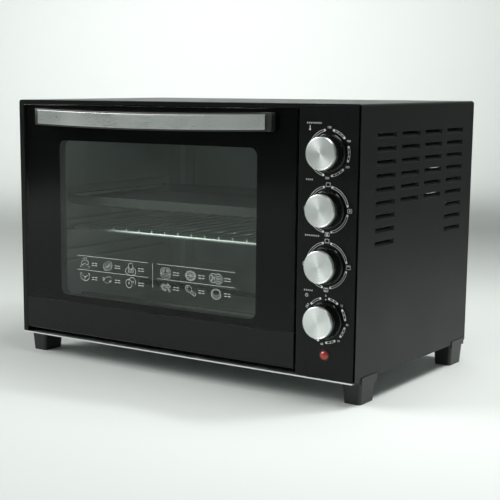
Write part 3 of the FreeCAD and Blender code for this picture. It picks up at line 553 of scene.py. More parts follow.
def press_louvres(bm, depth):
    """Press a ramp into each louvre's place on both sides, open along its top."""
    places = louvre_places()
    for z in sorted({z for _, z in places}):
        cut(bm, (0, 0, z - LOUVRE_BELOW), (0, 0, 1))
        cut(bm, (0, 0, z + LOUVRE_ABOVE), (0, 0, 1))
    for y in sorted({y for y, _ in places}):
        cut(bm, (0, y, 0), (0, 1, 0))
        cut(bm, (0, y + LOUVRE_LENGTH, 0), (0, 1, 0))
    cells = []
    for face in bm.faces:
        middle = face.calc_center_median()
        if abs(face.normal.x) > 0.99 and any(
                abs(middle.y - y - LOUVRE_LENGTH / 2) < MM
                and abs(middle.z - z + (LOUVRE_BELOW - LOUVRE_ABOVE) / 2) < MM for y, z in places):
            cells.append(face)
    rims = bmesh.ops.inset_individual(bm, faces=cells, thickness=0.5 * MM, use_even_offset=True)["faces"]
    for cell in cells:
        middle = cell.calc_center_median()
        inward = -math.copysign(1, middle.x)
        for vert in cell.verts:
            if vert.co.z > middle.z:
                vert.co.x += inward * depth
                vert.co.z -= LOUVRE_GAP
                vert.co.y -= math.copysign(LOUVRE_END, vert.co.y - middle.y)
            else:
                vert.co.x += inward * 0.5 * MM
    bm.normal_update()
    tops = [face for face in rims if abs(face.normal.z) > 0.85
            and face.calc_center_median().z > min(v.co.z for v in face.verts) - MM
            and face.calc_area() > 0.5 * LOUVRE_LENGTH * depth]
    bmesh.ops.delete(bm, geom=tops, context="FACES_ONLY")


class OVEN_OT_casing(Operator):
    """Steel casing with bent edges, pressed louvres and a turned-in rear flange"""
    bl_idname = "oven.add_casing"
    bl_label = "Casing"

    def execute(self, context):
        look = looks()
        below = CASING_LOW - Vector((0, 0, 20 * MM))
        bm, _ = block(below, CASING_HIGH)
        open_sides = [f for f in bm.faces if f.normal.y < -0.9 or f.normal.z < -0.9]
        bmesh.ops.delete(bm, geom=open_sides, context="FACES")
        bends = [e for e in bm.edges if runs_along(e, 1) and e.verts[0].co.z > CASING_HIGH.z - MM]
        round_edges(bm, bends, look.casing_bend, 12)
        inner_x, inner_z = CASING_HIGH.x - REAR_FLANGE, CASING_HIGH.z - REAR_FLANGE
        for place, normal in (((inner_x, 0, 0), (1, 0, 0)), ((-inner_x, 0, 0), (1, 0, 0)),
                              ((0, 0, inner_z), (0, 0, 1))):
            cut(bm, place, normal, faces=[f for f in bm.faces if f.normal.y > 0.9])
        back = [f for f in bm.faces if f.normal.y > 0.9 and f.calc_center_median().z < inner_z
                and abs(f.calc_center_median().x) < inner_x]
        bmesh.ops.delete(bm, geom=back, context="FACES")
        rear = [e for e in bm.edges if len(e.link_faces) == 2 and e.calc_face_angle() > 1.2
                and min(v.co.y for v in e.verts) > CASING_HIGH.y - 0.01 * MM]
        round_edges(bm, rear, 1.2 * MM, 3)
        cut(bm, (0, 0, CASING_LOW.z), (0, 0, -1), clear=True)
        press_louvres(bm, look.louvre_depth)
        weld(bm)
        face_up(bm, next(f for f in bm.faces if f.calc_center_median().z > CASING_HIGH.z - 0.01 * MM))
        shell = piece("casing_shell", bm, "cabinet", "black_enamel", ["outer_casing"], sharp=9.0,
                      settled=True)
        thicken(shell, SHEET)
        soften(shell, 0.15 * MM, 1, 50.0)
        return {"FINISHED"}


# ---- door
WINDOW_LOW_CORNER = Vector((GLASS_LOW.x + WINDOW_LEFT, 0, GLASS_LOW.z + WINDOW_LOW))
WINDOW_HIGH_CORNER = Vector((GLASS_HIGH.x - WINDOW_RIGHT, 0, GLASS_HIGH.z - WINDOW_TOP))
PANE_BACK = GLASS_HIGH.y - 0.45 * MM


def window_outline(bm, plane, grow=0.0):
    """One face with rounded corners, the size of the window, in the plane given."""
    low, high = WINDOW_LOW_CORNER, WINDOW_HIGH_CORNER
    verts = rectangle(bm, ((low.x + high.x) / 2, plane, (low.z + high.z) / 2),
                      high.x - low.x + 2 * grow, high.z - low.z + 2 * grow, UPRIGHT)
    round_corners(bm, verts, WINDOW_CORNER + grow, 8)
    return bm.faces[:]


class OVEN_OT_door_glass(Operator):
    """Toughened pane with ground edges, its black printed border and the window's faint film"""
    bl_idname = "oven.add_door_glass"
    bl_label = "Door glass"

    def execute(self, context):
        bm, _ = block(GLASS_LOW, Vector((GLASS_HIGH.x, PANE_BACK, GLASS_HIGH.z)))
        round_edges(bm, [e for e in bm.edges if runs_along(e, 1)], 2 * MM, 4)
        rims = [e for e in bm.edges if not runs_along(e, 1)]
        round_edges(bm, rims, 0.3 * MM, 2)
        piece("door_pane", bm, "door", "door_glass", ["door_glass"], sharp=15.0)

        bm = bmesh.new()
        window = window_outline(bm, PANE_BACK + 0.15 * MM)
        outline = [e for e in bm.edges if e.is_boundary]
        middle = (GLASS_LOW + GLASS_HIGH) / 2
        new = bmesh.ops.extrude_edge_only(bm, edges=outline)["geom"]
        for vert in verts_of(new):
            vert.co.x = GLASS_LOW.x + MM if vert.co.x < middle.x else GLASS_HIGH.x - MM
            vert.co.z = GLASS_LOW.z + 0.3 * MM if vert.co.z < middle.z else GLASS_HIGH.z - MM
        bmesh.ops.delete(bm, geom=window, context="FACES_ONLY")
        weld(bm)
        inked("door_print", bm, "door", "door_glass", "black_print")

        bm = bmesh.new()
        window_outline(bm, PANE_BACK + 0.3 * MM, 2 * MM)
        inked("window_film", bm, "door", "door_glass", "window_film")
        return {"FINISHED"}


# Pictograms, in millimetres from the middle of each: rings are (x, z, radius), with flat, tilt, from
# and to where they aren't 1, 0, 0 and 360; strokes are (x, z, x, z)
PICTOGRAMS = (
    # fowl on a dish, with steam
    (((0, -4.6, 8.2, 0.26), (-0.5, 0, 6.2, 0.75, -18, 250, 440), (4.2, 1.2, 2.4, 1, 0, 0, 230)),
     ((-3, 6, -2.2, 8.6), (-0.4, 6, 0.4, 8.6), (2.2, 6, 3, 8.6), (-5, -2.4, 1, 1.2))),
    # filled roll
    (((0, 0.8, 8.0, 0.62, -24), (0, 0.8, 5.2, 0.5, -24), (0.4, -1.0, 8.0, 0.62, -24, 95, 265)),
     ((-3, -1.4, 3, 2.8), (-1.6, -2.4, 4.2, 1.6))),
    # bunch of three tubers
    (((0, 3.6, 4.0, 1.05), (-4.6, -3.4, 4.2, 1.1, 10, 150, 360), (4.6, -3.4, 4.2, 1.1, -10, 0, 210)),
     ((-4.4, -5.6, -3.2, 0.6), (-2, -6, -1, -0.4), (0.8, -6, 0.4, -0.6), (3, -5.6, 2.2, 0.4),
      (5.4, -5, 4.2, 0))),
    # layered cake
    (((0, 2.2, 8.0, 0.62), (0, -2.4, 8.0, 0.62, 0, 90, 270), (0, 2.2, 5.6, 0.6),
      (-2.4, 2.6, 1.2, 0.8), (2.4, 2.4, 1.2, 0.8), (0, 0.4, 8.0, 0.62, 0, 90, 270)),
     ((-8, 2.2, -8, -2.4), (8, 2.2, 8, -2.4))),
    # pie cut in pieces
    (((0, 0, 8.0, 0.8), (0, 0, 6.6, 0.8), (0, 0, 1.3, 0.8)),
     ((-6.4, 0, 6.4, 0), (0, -5.2, 0, 5.2), (-4.6, -3.7, 4.6, 3.7), (-4.6, 3.7, 4.6, -3.7))),
    # biscuits
    (((3.4, 0, 6.0, 1.1), (3.4, 0, 3.4, 1.1), (-5, 0.4, 5.4, 1.1, 0, 150, 390), (-5, 0.6, 1.2),
      (-6.6, 3.2, 0.9), (-6.8, -2.4, 0.9)),
     ((1.8, -1, 5, 1), (1.8, 1, 5, -1))),
    # drumstick pair
    (((0, 3.0, 8.2, 0.9, 0, 100, 260), (-6.6, 4.4, 1.6, 1, 0, 180, 400),
      (6.6, 4.4, 1.6, 1, 0, -40, 180), (0, 7.0, 6.4, 0.9, 0, 125, 235)),
     ((-3.6, 2.6, 0, 0), (3.6, 2.8, 0, 0), (0, 0, -0.6, -3.6))),
    # fish
    (((0.8, 1.0, 6.2, 0.62, -14, 280, 440), (0.8, 0.2, 6.2, 0.62, -14, 100, 260), (4.0, -0.8, 0.8)),
     ((-5, 1.4, -8.4, 3.6), (-5, 1.4, -8.0, -1.4), (-8.4, 3.6, -8.0, -1.4), (-0.6, 3.6, 1.6, 5))),
    # potatoes
    (((-3.2, -0.8, 5.2, 1.1, -24), (2.6, 2.2, 5.6, 1.05, -24, 270, 510), (-3.2, -0.6, 0.8),
      (4.2, 2.2, 0.8)),
     ()),
    # peanuts
    (((-6, 1.4, 1.5), (-3.2, 3.4, 1.3), (0.2, 1.6, 1.5), (3.6, 4.0, 1.4), (-4.4, -2.4, 1.4),
      (-0.4, -3.2, 1.5), (3.8, -0.6, 1.5), (6.4, -3.6, 1.4), (7.0, 2.0, 1.1)),
     ()),
    # drumstick
    (((-3, 2.2, 5.2, 0.8, 34), (6.2, -4.2, 2.2, 1, 0, 20, 290), (-3, 2.2, 2.8, 0.8, 34, 180, 330)),
     ((1.2, 0.4, 5.4, -2.4), (-0.6, -2.4, 3.8, -5.2))),
    # ring cake
    (((0, 0.6, 7.4, 0.8), (0, 1.2, 5.6, 0.72), (0, -1.2, 7.4, 0.8, 0, 95, 265)),
     ()),
)
LEGEND_BLOCKS = (91.3, 231.2)          # left ends of the two blocks, from the glass's left edge
LEGEND_BLOCK_WIDTH = 124.0
LEGEND_RULES = (66.8, 47.2)            # heights of the ruled lines above the glass's lower edge
LEGEND_COLUMNS = (13.6, 54.3, 94.8)    # middles of the pictograms in a block
LEGEND_DROP = 10.6                     # rule to the middle of the row under it
LEGEND_CAPTION = 12.6                  # pictogram to the dashes beside it
DIVIDER_X = 223.3
DIVIDER = (33.4, 66.8)


class OVEN_OT_legend(Operator):
    """White pictograms and rules printed on the window, with plain dashes for captions"""
    bl_idname = "oven.add_window_legend"
    bl_label = "Window legend"

    def execute(self, context):
        width = looks().legend_width
        plane = PANE_BACK + 0.15 * MM
        bm = bmesh.new()

        def at(x, z):
            return GLASS_LOW.x + x * MM, GLASS_LOW.z + z * MM

        bar(bm, plane, at(DIVIDER_X, DIVIDER[0]), at(DIVIDER_X, DIVIDER[1]), width)
        for number, (rings, strokes) in enumerate(PICTOGRAMS):
            left = LEGEND_BLOCKS[number // 3 % 2]
            rule = LEGEND_RULES[number // 6]
            x, z = left + LEGEND_COLUMNS[number % 3], rule - LEGEND_DROP
            if number % 3 == 0:
                bar(bm, plane, at(left, rule), at(left + LEGEND_BLOCK_WIDTH, rule), width)
            for rx, rz, radius, *shape in rings:
                arc(bm, plane, at(x + rx, z + rz), radius * MM, width, *shape)
            for x0, z0, x1, z1 in strokes:
                bar(bm, plane, at(x + x0, z + z0), at(x + x1, z + z1), width)
            for dash in (0, 1):
                begin = x + LEGEND_CAPTION + 5.4 * dash
                for level in (-1.6, 1.6):
                    bar(bm, plane, at(begin, z + level), at(begin + 4.2, z + level), 1.6 * width)
        inked("window_legend", bm, "door", "door_glass", "white_print")
        return {"FINISHED"}


HANDLE_BOW = 1080.0 * MM


class OVEN_OT_handle(Operator):
    """Bowed black grip on two posts, faced with a brushed metal strip with polished edges"""
    bl_idname = "oven.add_handle"
    bl_label = "Handle"

    def execute(self, context):
        look = looks()
        strip_low, strip_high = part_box("handle_strip")
        grip_low, grip_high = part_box("handle_grip")
        half_strip = (strip_high.x - strip_low.x) / 2
        centre = Vector(((strip_low.x + strip_high.x) / 2, strip_low.y + HANDLE_BOW, 0))

        def bowed(depth, thickness, low, high, half_length, round_front, round_back):
            """Bar bent to the handle's bow; depth is from the handle's front to the bar's front."""
            radius = (centre.y - strip_low.y) - depth
            bm = bmesh.new()
            middle = Vector((centre.x, centre.y - radius + thickness / 2, (low + high) / 2))
            verts = rectangle(bm, middle, high - low, thickness, Matrix.Rotation(QUARTER, 4, "Y"))
            front = [v for v in verts if v.co.y < middle.y]
            rear = [v for v in verts if v not in front]
            round_corners(bm, front, round_front, 2)
            rear = [v for v in rear if v.is_valid]
            if round_back:
                round_corners(bm, rear, round_back, 4)
            swing = math.asin(half_length / radius)
            bmesh.ops.rotate(bm, cent=centre, matrix=Matrix.Rotation(-swing, 3, "Z"), verts=bm.verts)
            geom = bm.verts[:] + bm.edges[:] + bm.faces[:]
            bmesh.ops.spin(bm, geom=geom, cent=centre, axis=(0, 0, 1), angle=2 * swing, steps=48)
            for vert in bm.verts:
                vert.co.z -= look.handle_droop * (1 - ((vert.co.x - centre.x) / half_length) ** 2)
            return bm

        strip = bowed(0, 1.2 * MM, strip_low.z, strip_high.z, half_strip, look.strip_chamfer, 0)
        soften(piece("handle_facing", strip, "door", "handle_steel", ["handle_strip"], sharp=20.0),
               0.25 * MM)

        half_grip = (grip_high.x - grip_low.x) / 2
        bm = bowed(1.3 * MM, 8 * MM, grip_low.z, grip_high.z, half_grip, 0.8 * MM, 2.4 * MM)
        post_width, post_setback, inset = 18 * MM, 19.4 * MM, 0.02 * MM
        for side in SIDES:
            outer = centre.x + side * (half_grip - inset)
            inner = centre.x + side * (half_grip - post_width)
            low = Vector((min(outer, inner), strip_low.y + post_setback, grip_low.z + inset))
            high = Vector((max(outer, inner), grip_high.y, grip_high.z - inset))
            _, verts = block(low, high, bm)
            uprights = {e for v in verts for e in v.link_edges if runs_along(e, 1)}
            round_edges(bm, list(uprights), 2 * MM, 4)
        soften(piece("handle_body", bm, "door", "handle_black", ["handle_grip"]), 0.3 * MM)
        return {"FINISHED"}


# ---- controls
RING_INNER = 25.9
RING_OUTER = 28.2


def knob_middle(name):
    low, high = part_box(name + "_knob")
    return (low.x + high.x) / 2, (low.z + high.z) / 2


def chain(bm, plane, middle, start, end, links, width):
    """Printed double arc with a dot at each end, tied across between its links."""
    for radius in (RING_INNER, RING_OUTER):
        arc(bm, plane, middle, radius * MM, width, start=start, end=end)
    for number in range(links + 1):
        angle = start + (end - start) * number / links
        if number in (0, links):
            dot(bm, plane, around(middle, angle, (RING_INNER + RING_OUTER) / 2), 1.45 * MM)
        else:
            bar(bm, plane, around(middle, angle, RING_INNER), around(middle, angle, RING_OUTER),
                1.8 * width)


def around(middle, angle, radius):
    """The (x, z) point at an angle clockwise from the top, the radius in mm."""
    turn = math.radians(angle)
    return middle[0] + radius * MM * math.sin(turn), middle[1] + radius * MM * math.cos(turn)


def oven_sign(bm, plane, middle, width, upper, lower, fan):
    """Small square sign with a heater line at its top, its bottom, both or neither."""
    x, z = middle
    half_w, half_h = 2.7 * MM, 2.2 * MM
    for side in SIDES:
        bar(bm, plane, (x - half_w, z + side * half_h), (x + half_w, z + side * half_h), width)
        bar(bm, plane, (x + side * half_w, z - half_h), (x + side * half_w, z + half_h), width)
    for present, side in ((upper, 1), (lower, -1)):
        if present:
            level = z + side * 0.55 * half_h
            bar(bm, plane, (x - 0.6 * half_w, level), (x + 0.6 * half_w, level), 1.5 * width)
    if fan:
        fan_sign(bm, plane, middle, width, 1.2)


def fan_sign(bm, plane, middle, width, radius):
    """Three blades around a point."""
    for blade in range(3):
        arc(bm, plane, around(middle, 120 * blade, 0.5 * radius), 0.5 * radius * MM, width, 0.6,
            120 * blade)


class OVEN_OT_panel_print(Operator):
    """Scales, signs and numbers printed around the four dials"""
    bl_idname = "oven.add_panel_print"
    bl_label = "Panel print"

    def execute(self, context):
        width = looks().print_width
        plane = FRONT - INK
        for name in KNOBS:
            middle = knob_middle(name)
            bm = bmesh.new()
            getattr(self, name)(bm, plane, middle, width)
            inked(name + "_print", bm, "cabinet", "panel_black", "white_print")
        return {"FINISHED"}

    def heading(self, bm, plane, middle, dashes):
        """Plain dashes where the dial's name would be."""
        x, z = middle[0] - 30.0 * MM, middle[1] + 34.6 * MM
        for number in range(dashes):
            start = x + number * 2.6 * MM
            bar(bm, plane, (start, z), (start + 0.8 * MM, z), 2.0 * MM)

    def temperature(self, bm, plane, middle, width):
        """Thermometer sign and four temperatures, with three links between each pair"""
        self.heading(bm, plane, middle, 8)
        chain(bm, plane, middle, -13, -165, 1, width)
        for number in range(4):
            angle = 61 * number
            numeral(bm, plane, around(middle, angle, 29.6), str(100 + 50 * number), 3.6 * MM)
            if number < 3:
                chain(bm, plane, middle, angle + 13, angle + 48, 3, width)
        x, z = middle[0] - 26.0 * MM, middle[1] + 29.2 * MM
        dot(bm, plane, (x, z - 2.2 * MM), 1.2 * MM)
        bar(bm, plane, (x, z - 2.2 * MM), (x, z + 2.4 * MM), 0.9 * MM)

    def selector(self, bm, plane, middle, width, signs):
        """Four places a quarter turn apart, each with its sign"""
        for number, (upper, lower, fan) in enumerate(signs):
            chain(bm, plane, middle, 90 * number + 12, 90 * number + 78, 1, width)
            oven_sign(bm, plane, around(middle, 90 * number, 29.4), width, upper, lower, fan)

    def mode(self, bm, plane, middle, width):
        self.heading(bm, plane, middle, 4)
        self.selector(bm, plane, middle, width, ((0, 0, 0), (0, 0, 1), (1, 1, 1), (0, 1, 0)))

    def heater(self, bm, plane, middle, width):
        self.heading(bm, plane, middle, 8)
        self.selector(bm, plane, middle, width, ((0, 0, 0), (1, 0, 0), (1, 1, 0), (0, 1, 0)))

    def timer(self, bm, plane, middle, width):
        """Clock sign, off mark, stay-on mark and four times with two links between each pair"""
        self.heading(bm, plane, middle, 5)
        x, z = middle[0] - 26.4 * MM, middle[1] + 28.6 * MM
        arc(bm, plane, (x, z), 1.9 * MM, width)
        bar(bm, plane, (x, z), (x, z + 1.3 * MM), width)
        bar(bm, plane, (x, z), (x + 1.0 * MM, z), width)
        numeral(bm, plane, around(middle, 0, 30.0), "0", 3.6 * MM)
        dot(bm, plane, around(middle, 0, 25.4), 0.7 * MM)
        chain(bm, plane, middle, -16, -46, 1, width)
        for side in SIDES:
            arc(bm, plane, around(middle, -58 + 2.6 * side, 29.6), 1.3 * MM, width)
        for number in range(1, 5):
            angle = 47 * number
            numeral(bm, plane, around(middle, angle, 29.6), str(15 * number), 3.6 * MM)
            chain(bm, plane, middle, angle - 37, angle - 12, 2, width)
        chain(bm, plane, middle, 200, 280, 1, width)


class OVEN_OT_knobs(Operator):
    """Black knobs with a stepped skirt and turned metal caps"""
    bl_idname = "oven.add_knobs"
    bl_label = "Knobs"

    def execute(self, context):
        steps = looks().knob_steps
        for name in KNOBS:
            low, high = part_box(name + "_knob")
            x, z = knob_middle(name)
            base = (high.x - low.x) / 2 / MM
            depth = (high.y - low.y) / MM
            centre = Vector((x, high.y, z))
            cap_low, cap_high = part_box(name + "_knob_cap")
            cap_radius = (cap_high.x - cap_low.x) / 2 / MM
            cap_depth = (cap_high.y - cap_low.y) / MM
            neck = cap_radius + 0.6
            skirt = [(0, 0), (base - 0.4, 0), (base, 0.4), (base, 1.6), (base - 0.35, 2.1),
                     (base - 1.1, 2.3), (base - 1.3, 2.7), (neck + 0.7, depth - 1.4),
                     (neck + 0.35, depth - 0.5), (neck - 0.2, depth), (0, depth)]
            bm = turned(skirt, centre, steps)
            piece(name + "_dial", bm, name + "_control", "knob_black", [name + "_knob"], sharp=24.0)

            face = Vector((x, cap_high.y, z))
            profile = [(0, 0), (cap_radius - 0.2, 0), (cap_radius, 0.2), (cap_radius, cap_depth - 0.55),
                       (cap_radius - 0.15, cap_depth - 0.2), (cap_radius - 0.5, cap_depth - 0.02),
                       (cap_radius - 0.95, cap_depth), (cap_radius - 1.15, cap_depth - 0.12),
                       (cap_radius - 6, cap_depth - 0.12), (cap_radius - 12, cap_depth - 0.12),
                       (1.0, cap_depth - 0.12), (0, cap_depth - 0.12)]
            bm = turned(profile, face, steps)
            face_up(bm)
            wrap = bm.loops.layers.uv.new("turned")
            for facet in bm.faces:
                middle = facet.calc_center_median() - face
                home = math.atan2(middle.z, middle.x)
                for loop in facet.loops:
                    spot = loop.vert.co - face
                    radius = math.hypot(spot.x, spot.z)
                    angle = math.atan2(spot.z, spot.x) if radius > 0.1 * MM else home
                    turn = (angle - home + math.pi) % (2 * math.pi) - math.pi
                    loop[wrap].uv = ((home + turn) / math.pi, radius)
            piece(name + "_cap", bm, name + "_control", "cap_aluminium", [name + "_knob_cap"],
                  sharp=24.0)
        return {"FINISHED"}


class OVEN_OT_lamp(Operator):
    """Domed pilot lamp in a black bezel"""
    bl_idname = "oven.add_lamp"
    bl_label = "Pilot lamp"

    def execute(self, context):
        low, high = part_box("lamp_lens")
        centre = Vector(((low.x + high.x) / 2, FRONT, (low.z + high.z) / 2))
        dome = (FRONT - low.y) / MM
        inside = (high.y - FRONT) / MM
        profile = [(0, -inside), (5.6, -inside), (5.6, 0.6)]
        profile += [(5.6 * math.cos(math.radians(a)), 0.6 + (dome - 0.6) * math.sin(math.radians(a)))
                    for a in range(10, 91, 10)]
        profile[-1] = (0, dome)
        bm = turned(profile, centre, 48)
        piece("pilot_lens", bm, "cabinet", "lamp_red", ["lamp_lens"], sharp=40.0)
        ring = [(5.75, 0.02), (7.6, 0.02), (7.6, 0.5), (7.2, 1.0), (6.4, 1.15), (5.75, 0.8),
                (5.75, 0.02)]
        bm = turned(ring, centre, 48)
        piece("lamp_bezel", bm, "cabinet", "knob_black", sharp=40.0)
        return {"FINISHED"}


# ---- rack and tray
def wire(points, radius, closed=False):
    """Mesh tube along a path, with closed ends."""
    curve = bpy.data.curves.new("wire", "CURVE")
    curve.dimensions, curve.bevel_depth, curve.bevel_resolution = "3D", radius, 3
    curve.use_fill_caps = True
    line = curve.splines.new("POLY")
    line.points.add(len(points) - 1)
    for point, place in zip(line.points, points):
        point.co = (*place, 1.0)
    line.use_cyclic_u = closed
    return drawn(curve)


class OVEN_OT_shelves(Operator):
    """Welded wire rack, and a baking tray with a turned rim"""
    bl_idname = "oven.add_shelves"
    bl_label = "Rack and tray"

    def execute(self, context):
        self.rack()
        self.tray()
        return {"FINISHED"}

    def rack(self):
        low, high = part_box("wire_rack")
        thick, thin, rods = 2.5 * MM, 1.5 * MM, 17
        left, right = low.x + thick, high.x - thick
        front, back = low.y + thick, high.y - thick
        level = low.z + thick
        loop = bmesh.new()
        corners = rectangle(loop, ((left + right) / 2, (front + back) / 2, level), right - left,
                            back - front)
        round_corners(loop, corners, 12 * MM, 8)
        bm = bmesh.new()
        meshes = [wire([v.co for v in loop.faces[:][0].verts], thick, closed=True)]
        loop.free()
        over = level + thick + thin - 0.3 * MM
        for number in range(rods):
            x = left + (number + 0.5) * (right - left) / rods
            meshes.append(wire([(x, front - 0.5 * MM, over), (x, back + 0.5 * MM, over)], thin))
        for number in (1, 2):
            y = front + number * (back - front) / 3
            z = level + 0.5 * MM
            meshes.append(wire([(left, y, z), (right, y, z)], 2 * MM))
        for mesh in meshes:
            add_mesh(bm, mesh)
        piece("rack_wires", bm, "rack", "rack_chrome", ["wire_rack"], sharp=50.0)

    def tray(self):
        low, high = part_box("baking_tray")
        rim = 10 * MM
        bm = bmesh.new()
        middle = Vector(((low.x + high.x) / 2, (low.y + high.y) / 2, high.z))
        round_corners(bm, rectangle(bm, middle, high.x - low.x, high.y - low.y), 16 * MM, 8)
        pan = bm.faces[:]
        bmesh.ops.inset_region(bm, faces=pan, thickness=rim, use_even_offset=True)
        brim = {e for f in pan for e in f.edges}
        down = bmesh.ops.extrude_face_region(bm, geom=pan)["geom"]
        bmesh.ops.delete(bm, geom=pan, context="FACES_ONLY")
        floor = verts_of(down)
        bmesh.ops.translate(bm, verts=floor, vec=(0, 0, low.z - high.z + SHEET))
        bmesh.ops.scale(bm, vec=(0.99, 0.986, 1), space=Matrix.Translation(-middle), verts=floor)
        base = {e for v in floor for e in v.link_edges if all(w in floor for w in e.verts)}
        round_edges(bm, list(base), 3 * MM, 3)
        round_edges(bm, [e for e in brim if e.is_valid], 1.2 * MM, 2)
        face_up(bm, max(bm.faces, key=lambda f: f.calc_center_median().z))
        made = piece("tray_pan", bm, "tray", "tray_enamel", ["baking_tray"], settled=True)
        thicken(made, SHEET)
        soften(made, 0.2 * MM, 2, 60.0)


# ---- cavity
class OVEN_OT_cavity_beads(Operator):
    """Upright stiffening beads pressed into the cavity's back, one near each corner; their near-white
    steel is a painted highlight
    """
    bl_idname = "oven.add_cavity_beads"
    bl_label = "Cavity beads"

    def execute(self, context):
        wall_low, wall_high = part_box("cavity_back")
        left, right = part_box("cavity_left_wall")[1].x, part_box("cavity_right_wall")[0].x
        bm = bmesh.new()
        for x in (left + BEAD_INSET, right - BEAD_INSET):
            foot = Vector((x, wall_low.y + 0.2 * MM, wall_low.z + BEAD_END))
            place = Matrix.Translation(foot) @ Matrix.Diagonal((BEAD_WIDTH / 2, BEAD_RISE, 1, 1))
            made = bmesh.ops.create_circle(bm, cap_ends=True, segments=24, radius=1, matrix=place)
            base = {f for v in made["verts"] for f in v.link_faces}
            new = bmesh.ops.extrude_face_region(bm, geom=list(base), use_keep_orig=True)["geom"]
            bmesh.ops.translate(bm, verts=verts_of(new),
                                vec=(0, 0, wall_high.z - wall_low.z - 2 * BEAD_END))
        # the beads take the near-white steel, which paints a bright highlight on each of them
        piece("cavity_beads", bm, "cabinet", "cavity_steel", material="bead_steel")
        return {"FINISHED"}


# ---- screws
def pan_head(radius, height, shank, length):
    """Screw at the origin with its shank along +Y: domed head with a cross recess; sizes in mm."""
    profile = [(0, -length), (0.7 * shank, -length), (shank, shank - length), (shank, 0), (radius, 0),
               (radius, 0.45 * height), (0.92 * radius, 0.75 * height), (0.74 * radius, height),
               (0, height)]
    bm = turned(profile, Vector((0, 0, 0)), 24)
    bm.normal_update()
    radius, height = radius * MM, height * MM

    def top():
        return [f for f in bm.faces if all(abs(v.co.y + height) < WELD for v in f.verts)]

    bmesh.ops.dissolve_faces(bm, faces=top())
    arm, half_arm = 0.55 * radius, 0.13 * radius
    for reach in (arm, half_arm):
        for side in SIDES:
            for normal in ((1, 0, 0), (0, 0, 1)):
                cut(bm, side * reach * Vector(normal), normal, faces=top())
    cross = []
    for face in top():
        spot = face.calc_center_median()
        near, far = sorted((abs(spot.x), abs(spot.z)))
        if near < half_arm and far < arm:
            cross.append(face)
    sunk = bmesh.ops.extrude_face_region(bm, geom=cross)["geom"]
    bmesh.ops.delete(bm, geom=cross, context="FACES")
    floor = verts_of(sunk)
    bmesh.ops.translate(bm, verts=floor, vec=(0, 0.4 * height, 0))
    bmesh.ops.scale(bm, vec=(0.8, 1, 0.8), verts=floor)
    return bm


def islands(node):
    """Box of each separate solid of a CAD node."""
    bm = bmesh.new()
    bm.from_mesh(frame["nodes"][node].data)
    weld(bm)
    left, found = set(bm.verts), []
    while left:
        patch, reached = set(), [left.pop()]
        while reached:
            vert = reached.pop()
            patch.add(vert)
            for link in vert.link_edges:
                other = link.other_vert(vert)
                if other in left:
                    left.discard(other)
                    reached.append(other)
        low = Vector([min(v.co[i] for v in patch) for i in range(3)])
        high = Vector([max(v.co[i] for v in patch) for i in range(3)])
        found.append((low, high))
    bm.free()
    return sorted(found, key=lambda pair: tuple(pair[0]))


class OVEN_OT_screws(Operator):
    """Pan-head screws of the casing's rear edge and of the handle"""
    bl_idname = "oven.add_screws"
    bl_label = "Screws"

    def execute(self, context):
        for name, node, body, radius, shank, height in (
                ("rear_screws", "casing_screws", "cabinet", 3.0, 1.5, 2.0),
                ("handle_bolts", "handle_screws", "door", 4.0, 2.0, 2.4)):
            bm = bmesh.new()
            for number, (low, high) in enumerate(islands(node)):
                length = (high.y - low.y) / MM - height
                one = pan_head(radius, height, shank, length)
                middle = (low + high) / 2
                spot = Matrix.Translation((middle.x, high.y - height * MM, middle.z))
                turn = Matrix.Rotation(math.pi, 4, "Z") @ Matrix.Rotation(0.7 * number, 4, "Y")
                bmesh.ops.transform(one, matrix=spot @ turn, verts=one.verts)
                mesh = bpy.data.meshes.new("screw")
                one.to_mesh(mesh)
                one.free()
                add_mesh(bm, mesh)
            piece(name, bm, body, "screw_steel", [node])
        return {"FINISHED"}


# ---- everything carried over from the frame
class OVEN_OT_finish_parts(Operator):
    """Make every finish and give each part of the frame its own"""
    bl_idname = "oven.finish_parts"
    bl_label = "Finishes"

    def execute(self, context):
        for plain in bpy.data.materials[:]:
            bpy.data.materials.remove(plain)
        make_finishes()
        for name, node in frame["nodes"].items():
            for place in node.material_slots:
                place.material = bpy.data.materials[NODE_SLOTS[name]]
        return {"FINISHED"}


# ---- studio
EYE = Vector((0.93304, -1.39342, 0.38402))
TURN, DIP, ROLL = 0.6300, -0.17133, 0.00199


def soft_box(name, place, aim, size, power, spread_angle=180, colour=(1, 1, 1)):
    light = bpy.data.lights.new(name, "AREA")
    light.spread = math.radians(spread_angle)
    light.shape, light.size, light.size_y = "RECTANGLE", size[0], size[1]
    light.energy, light.color = power, colour
    holder = bpy.data.objects.new(name, light)
    holder.location = place
    holder.rotation_euler = (Vector(aim) - Vector(place)).to_track_quat("-Z", "Y").to_euler()
    bpy.context.scene.collection.objects.link(holder)
    return holder


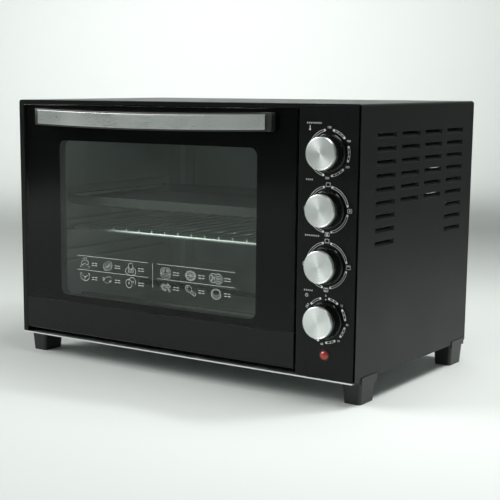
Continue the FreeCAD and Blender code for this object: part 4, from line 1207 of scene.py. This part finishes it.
class OVEN_OT_stage(Operator):
    """Pale studio sweep, soft lights and the camera"""
    bl_idname = "oven.add_stage"
    bl_label = "Studio"

    def execute(self, context):
        scene = context.scene
        look = looks()
        reach, curve, height = 3.2, 1.2, 3.4
        profile = [(0, 0), (0.6, 0), (1.5, 0), (reach, 0)]
        turns = [math.radians(angle) for angle in range(10, 91, 10)]
        profile += [(reach + curve * math.sin(a), curve - curve * math.cos(a)) for a in turns]
        profile.append((reach + curve, height))
        bm = spun([(x, 0, z) for x, z in profile], (0, 0, 0), (0, 0, 1), 96)
        face_up(bm, next(f for f in bm.faces if f.calc_center_median().z < MM))
        mesh = bpy.data.meshes.new("studio_sweep")
        bm.to_mesh(mesh)
        bm.free()
        mesh.shade_smooth()
        finish("backdrop_paper", tuple(look.backdrop), 0.85, grain=300.0, bump=0.02, mottle=0.01,
               mottle_scale=0.6, specular=0.2)
        mesh.materials.append(bpy.data.materials["backdrop_paper"])
        sweep = bpy.data.objects.new("studio_sweep", mesh)
        scene.collection.objects.link(sweep)

        world = bpy.data.worlds.new("studio")
        world.use_nodes = True
        world.node_tree.nodes["Background"].inputs["Color"].default_value = (0.95, 1.0, 0.98, 1)
        world.node_tree.nodes["Background"].inputs["Strength"].default_value = 0.12
        scene.world = world
        soft_box("overhead", (0.5, 0.15, 1.5), (0.42, 0.12, 0), (1.1, 1.0), 10.5, 110)
        soft_box("backdrop_light", (-1.1, 1.9, 2.8), (-2.5, 3.3, 0.9), (1.6, 1.2), 52, 115)
        soft_box("front_fill", (-2.3, -1.6, 1.8), (-0.2, -0.3, 0.1), (2.1, 1.6), 65, 150)
        soft_box("spark", (0.58, 0.31, 1.42), (0.23, -0.16, 0.25), (0.16, 0.08), 2.6, 120)

        lens = bpy.data.cameras.new("camera")
        lens.sensor_width, lens.lens = 36.0, 86.885
        lens.shift_x, lens.shift_y = 0.12113, 0.08249
        lens.clip_start, lens.clip_end = 0.05, 30
        camera = bpy.data.objects.new("camera", lens)
        camera.matrix_world = (Matrix.Translation(EYE) @ Matrix.Rotation(TURN, 4, "Z")
                               @ Matrix.Rotation(QUARTER + DIP, 4, "X") @ Matrix.Rotation(ROLL, 4, "Z"))
        scene.collection.objects.link(camera)
        scene.camera = camera
        scene.view_settings.view_transform = "Standard"
        return {"FINISHED"}


# ---- add-on
OPERATORS = (OVEN_OT_finish_parts, OVEN_OT_stage, OVEN_OT_casing, OVEN_OT_door_glass, OVEN_OT_legend,
             OVEN_OT_handle, OVEN_OT_panel_print, OVEN_OT_knobs, OVEN_OT_lamp, OVEN_OT_shelves,
             OVEN_OT_cavity_beads, OVEN_OT_screws)


class OVEN_PT_pieces(Panel):
    """Lists the looks and one button for each piece"""
    bl_idname = "OVEN_PT_pieces"
    bl_label = "Toaster oven"
    bl_space_type = "VIEW_3D"
    bl_region_type = "UI"
    bl_category = "Oven"

    def draw(self, context):
        for key in OVEN_PG_looks.__annotations__:
            self.layout.prop(context.scene.oven_looks, key)
        for kind in OPERATORS:
            self.layout.operator(kind.bl_idname)


CLASSES = (OVEN_PG_looks, *OPERATORS, OVEN_PT_pieces)


def register():
    for kind in CLASSES:
        bpy.utils.register_class(kind)
    bpy.types.Scene.oven_looks = PointerProperty(type=OVEN_PG_looks)


def unregister():
    del bpy.types.Scene.oven_looks
    for kind in reversed(CLASSES):
        bpy.utils.unregister_class(kind)


def main():
    register()
    for kind in OPERATORS:
        group, name = kind.bl_idname.split(".")
        getattr(getattr(bpy.ops, group), name)()


if __name__ == "__main__":
    main()
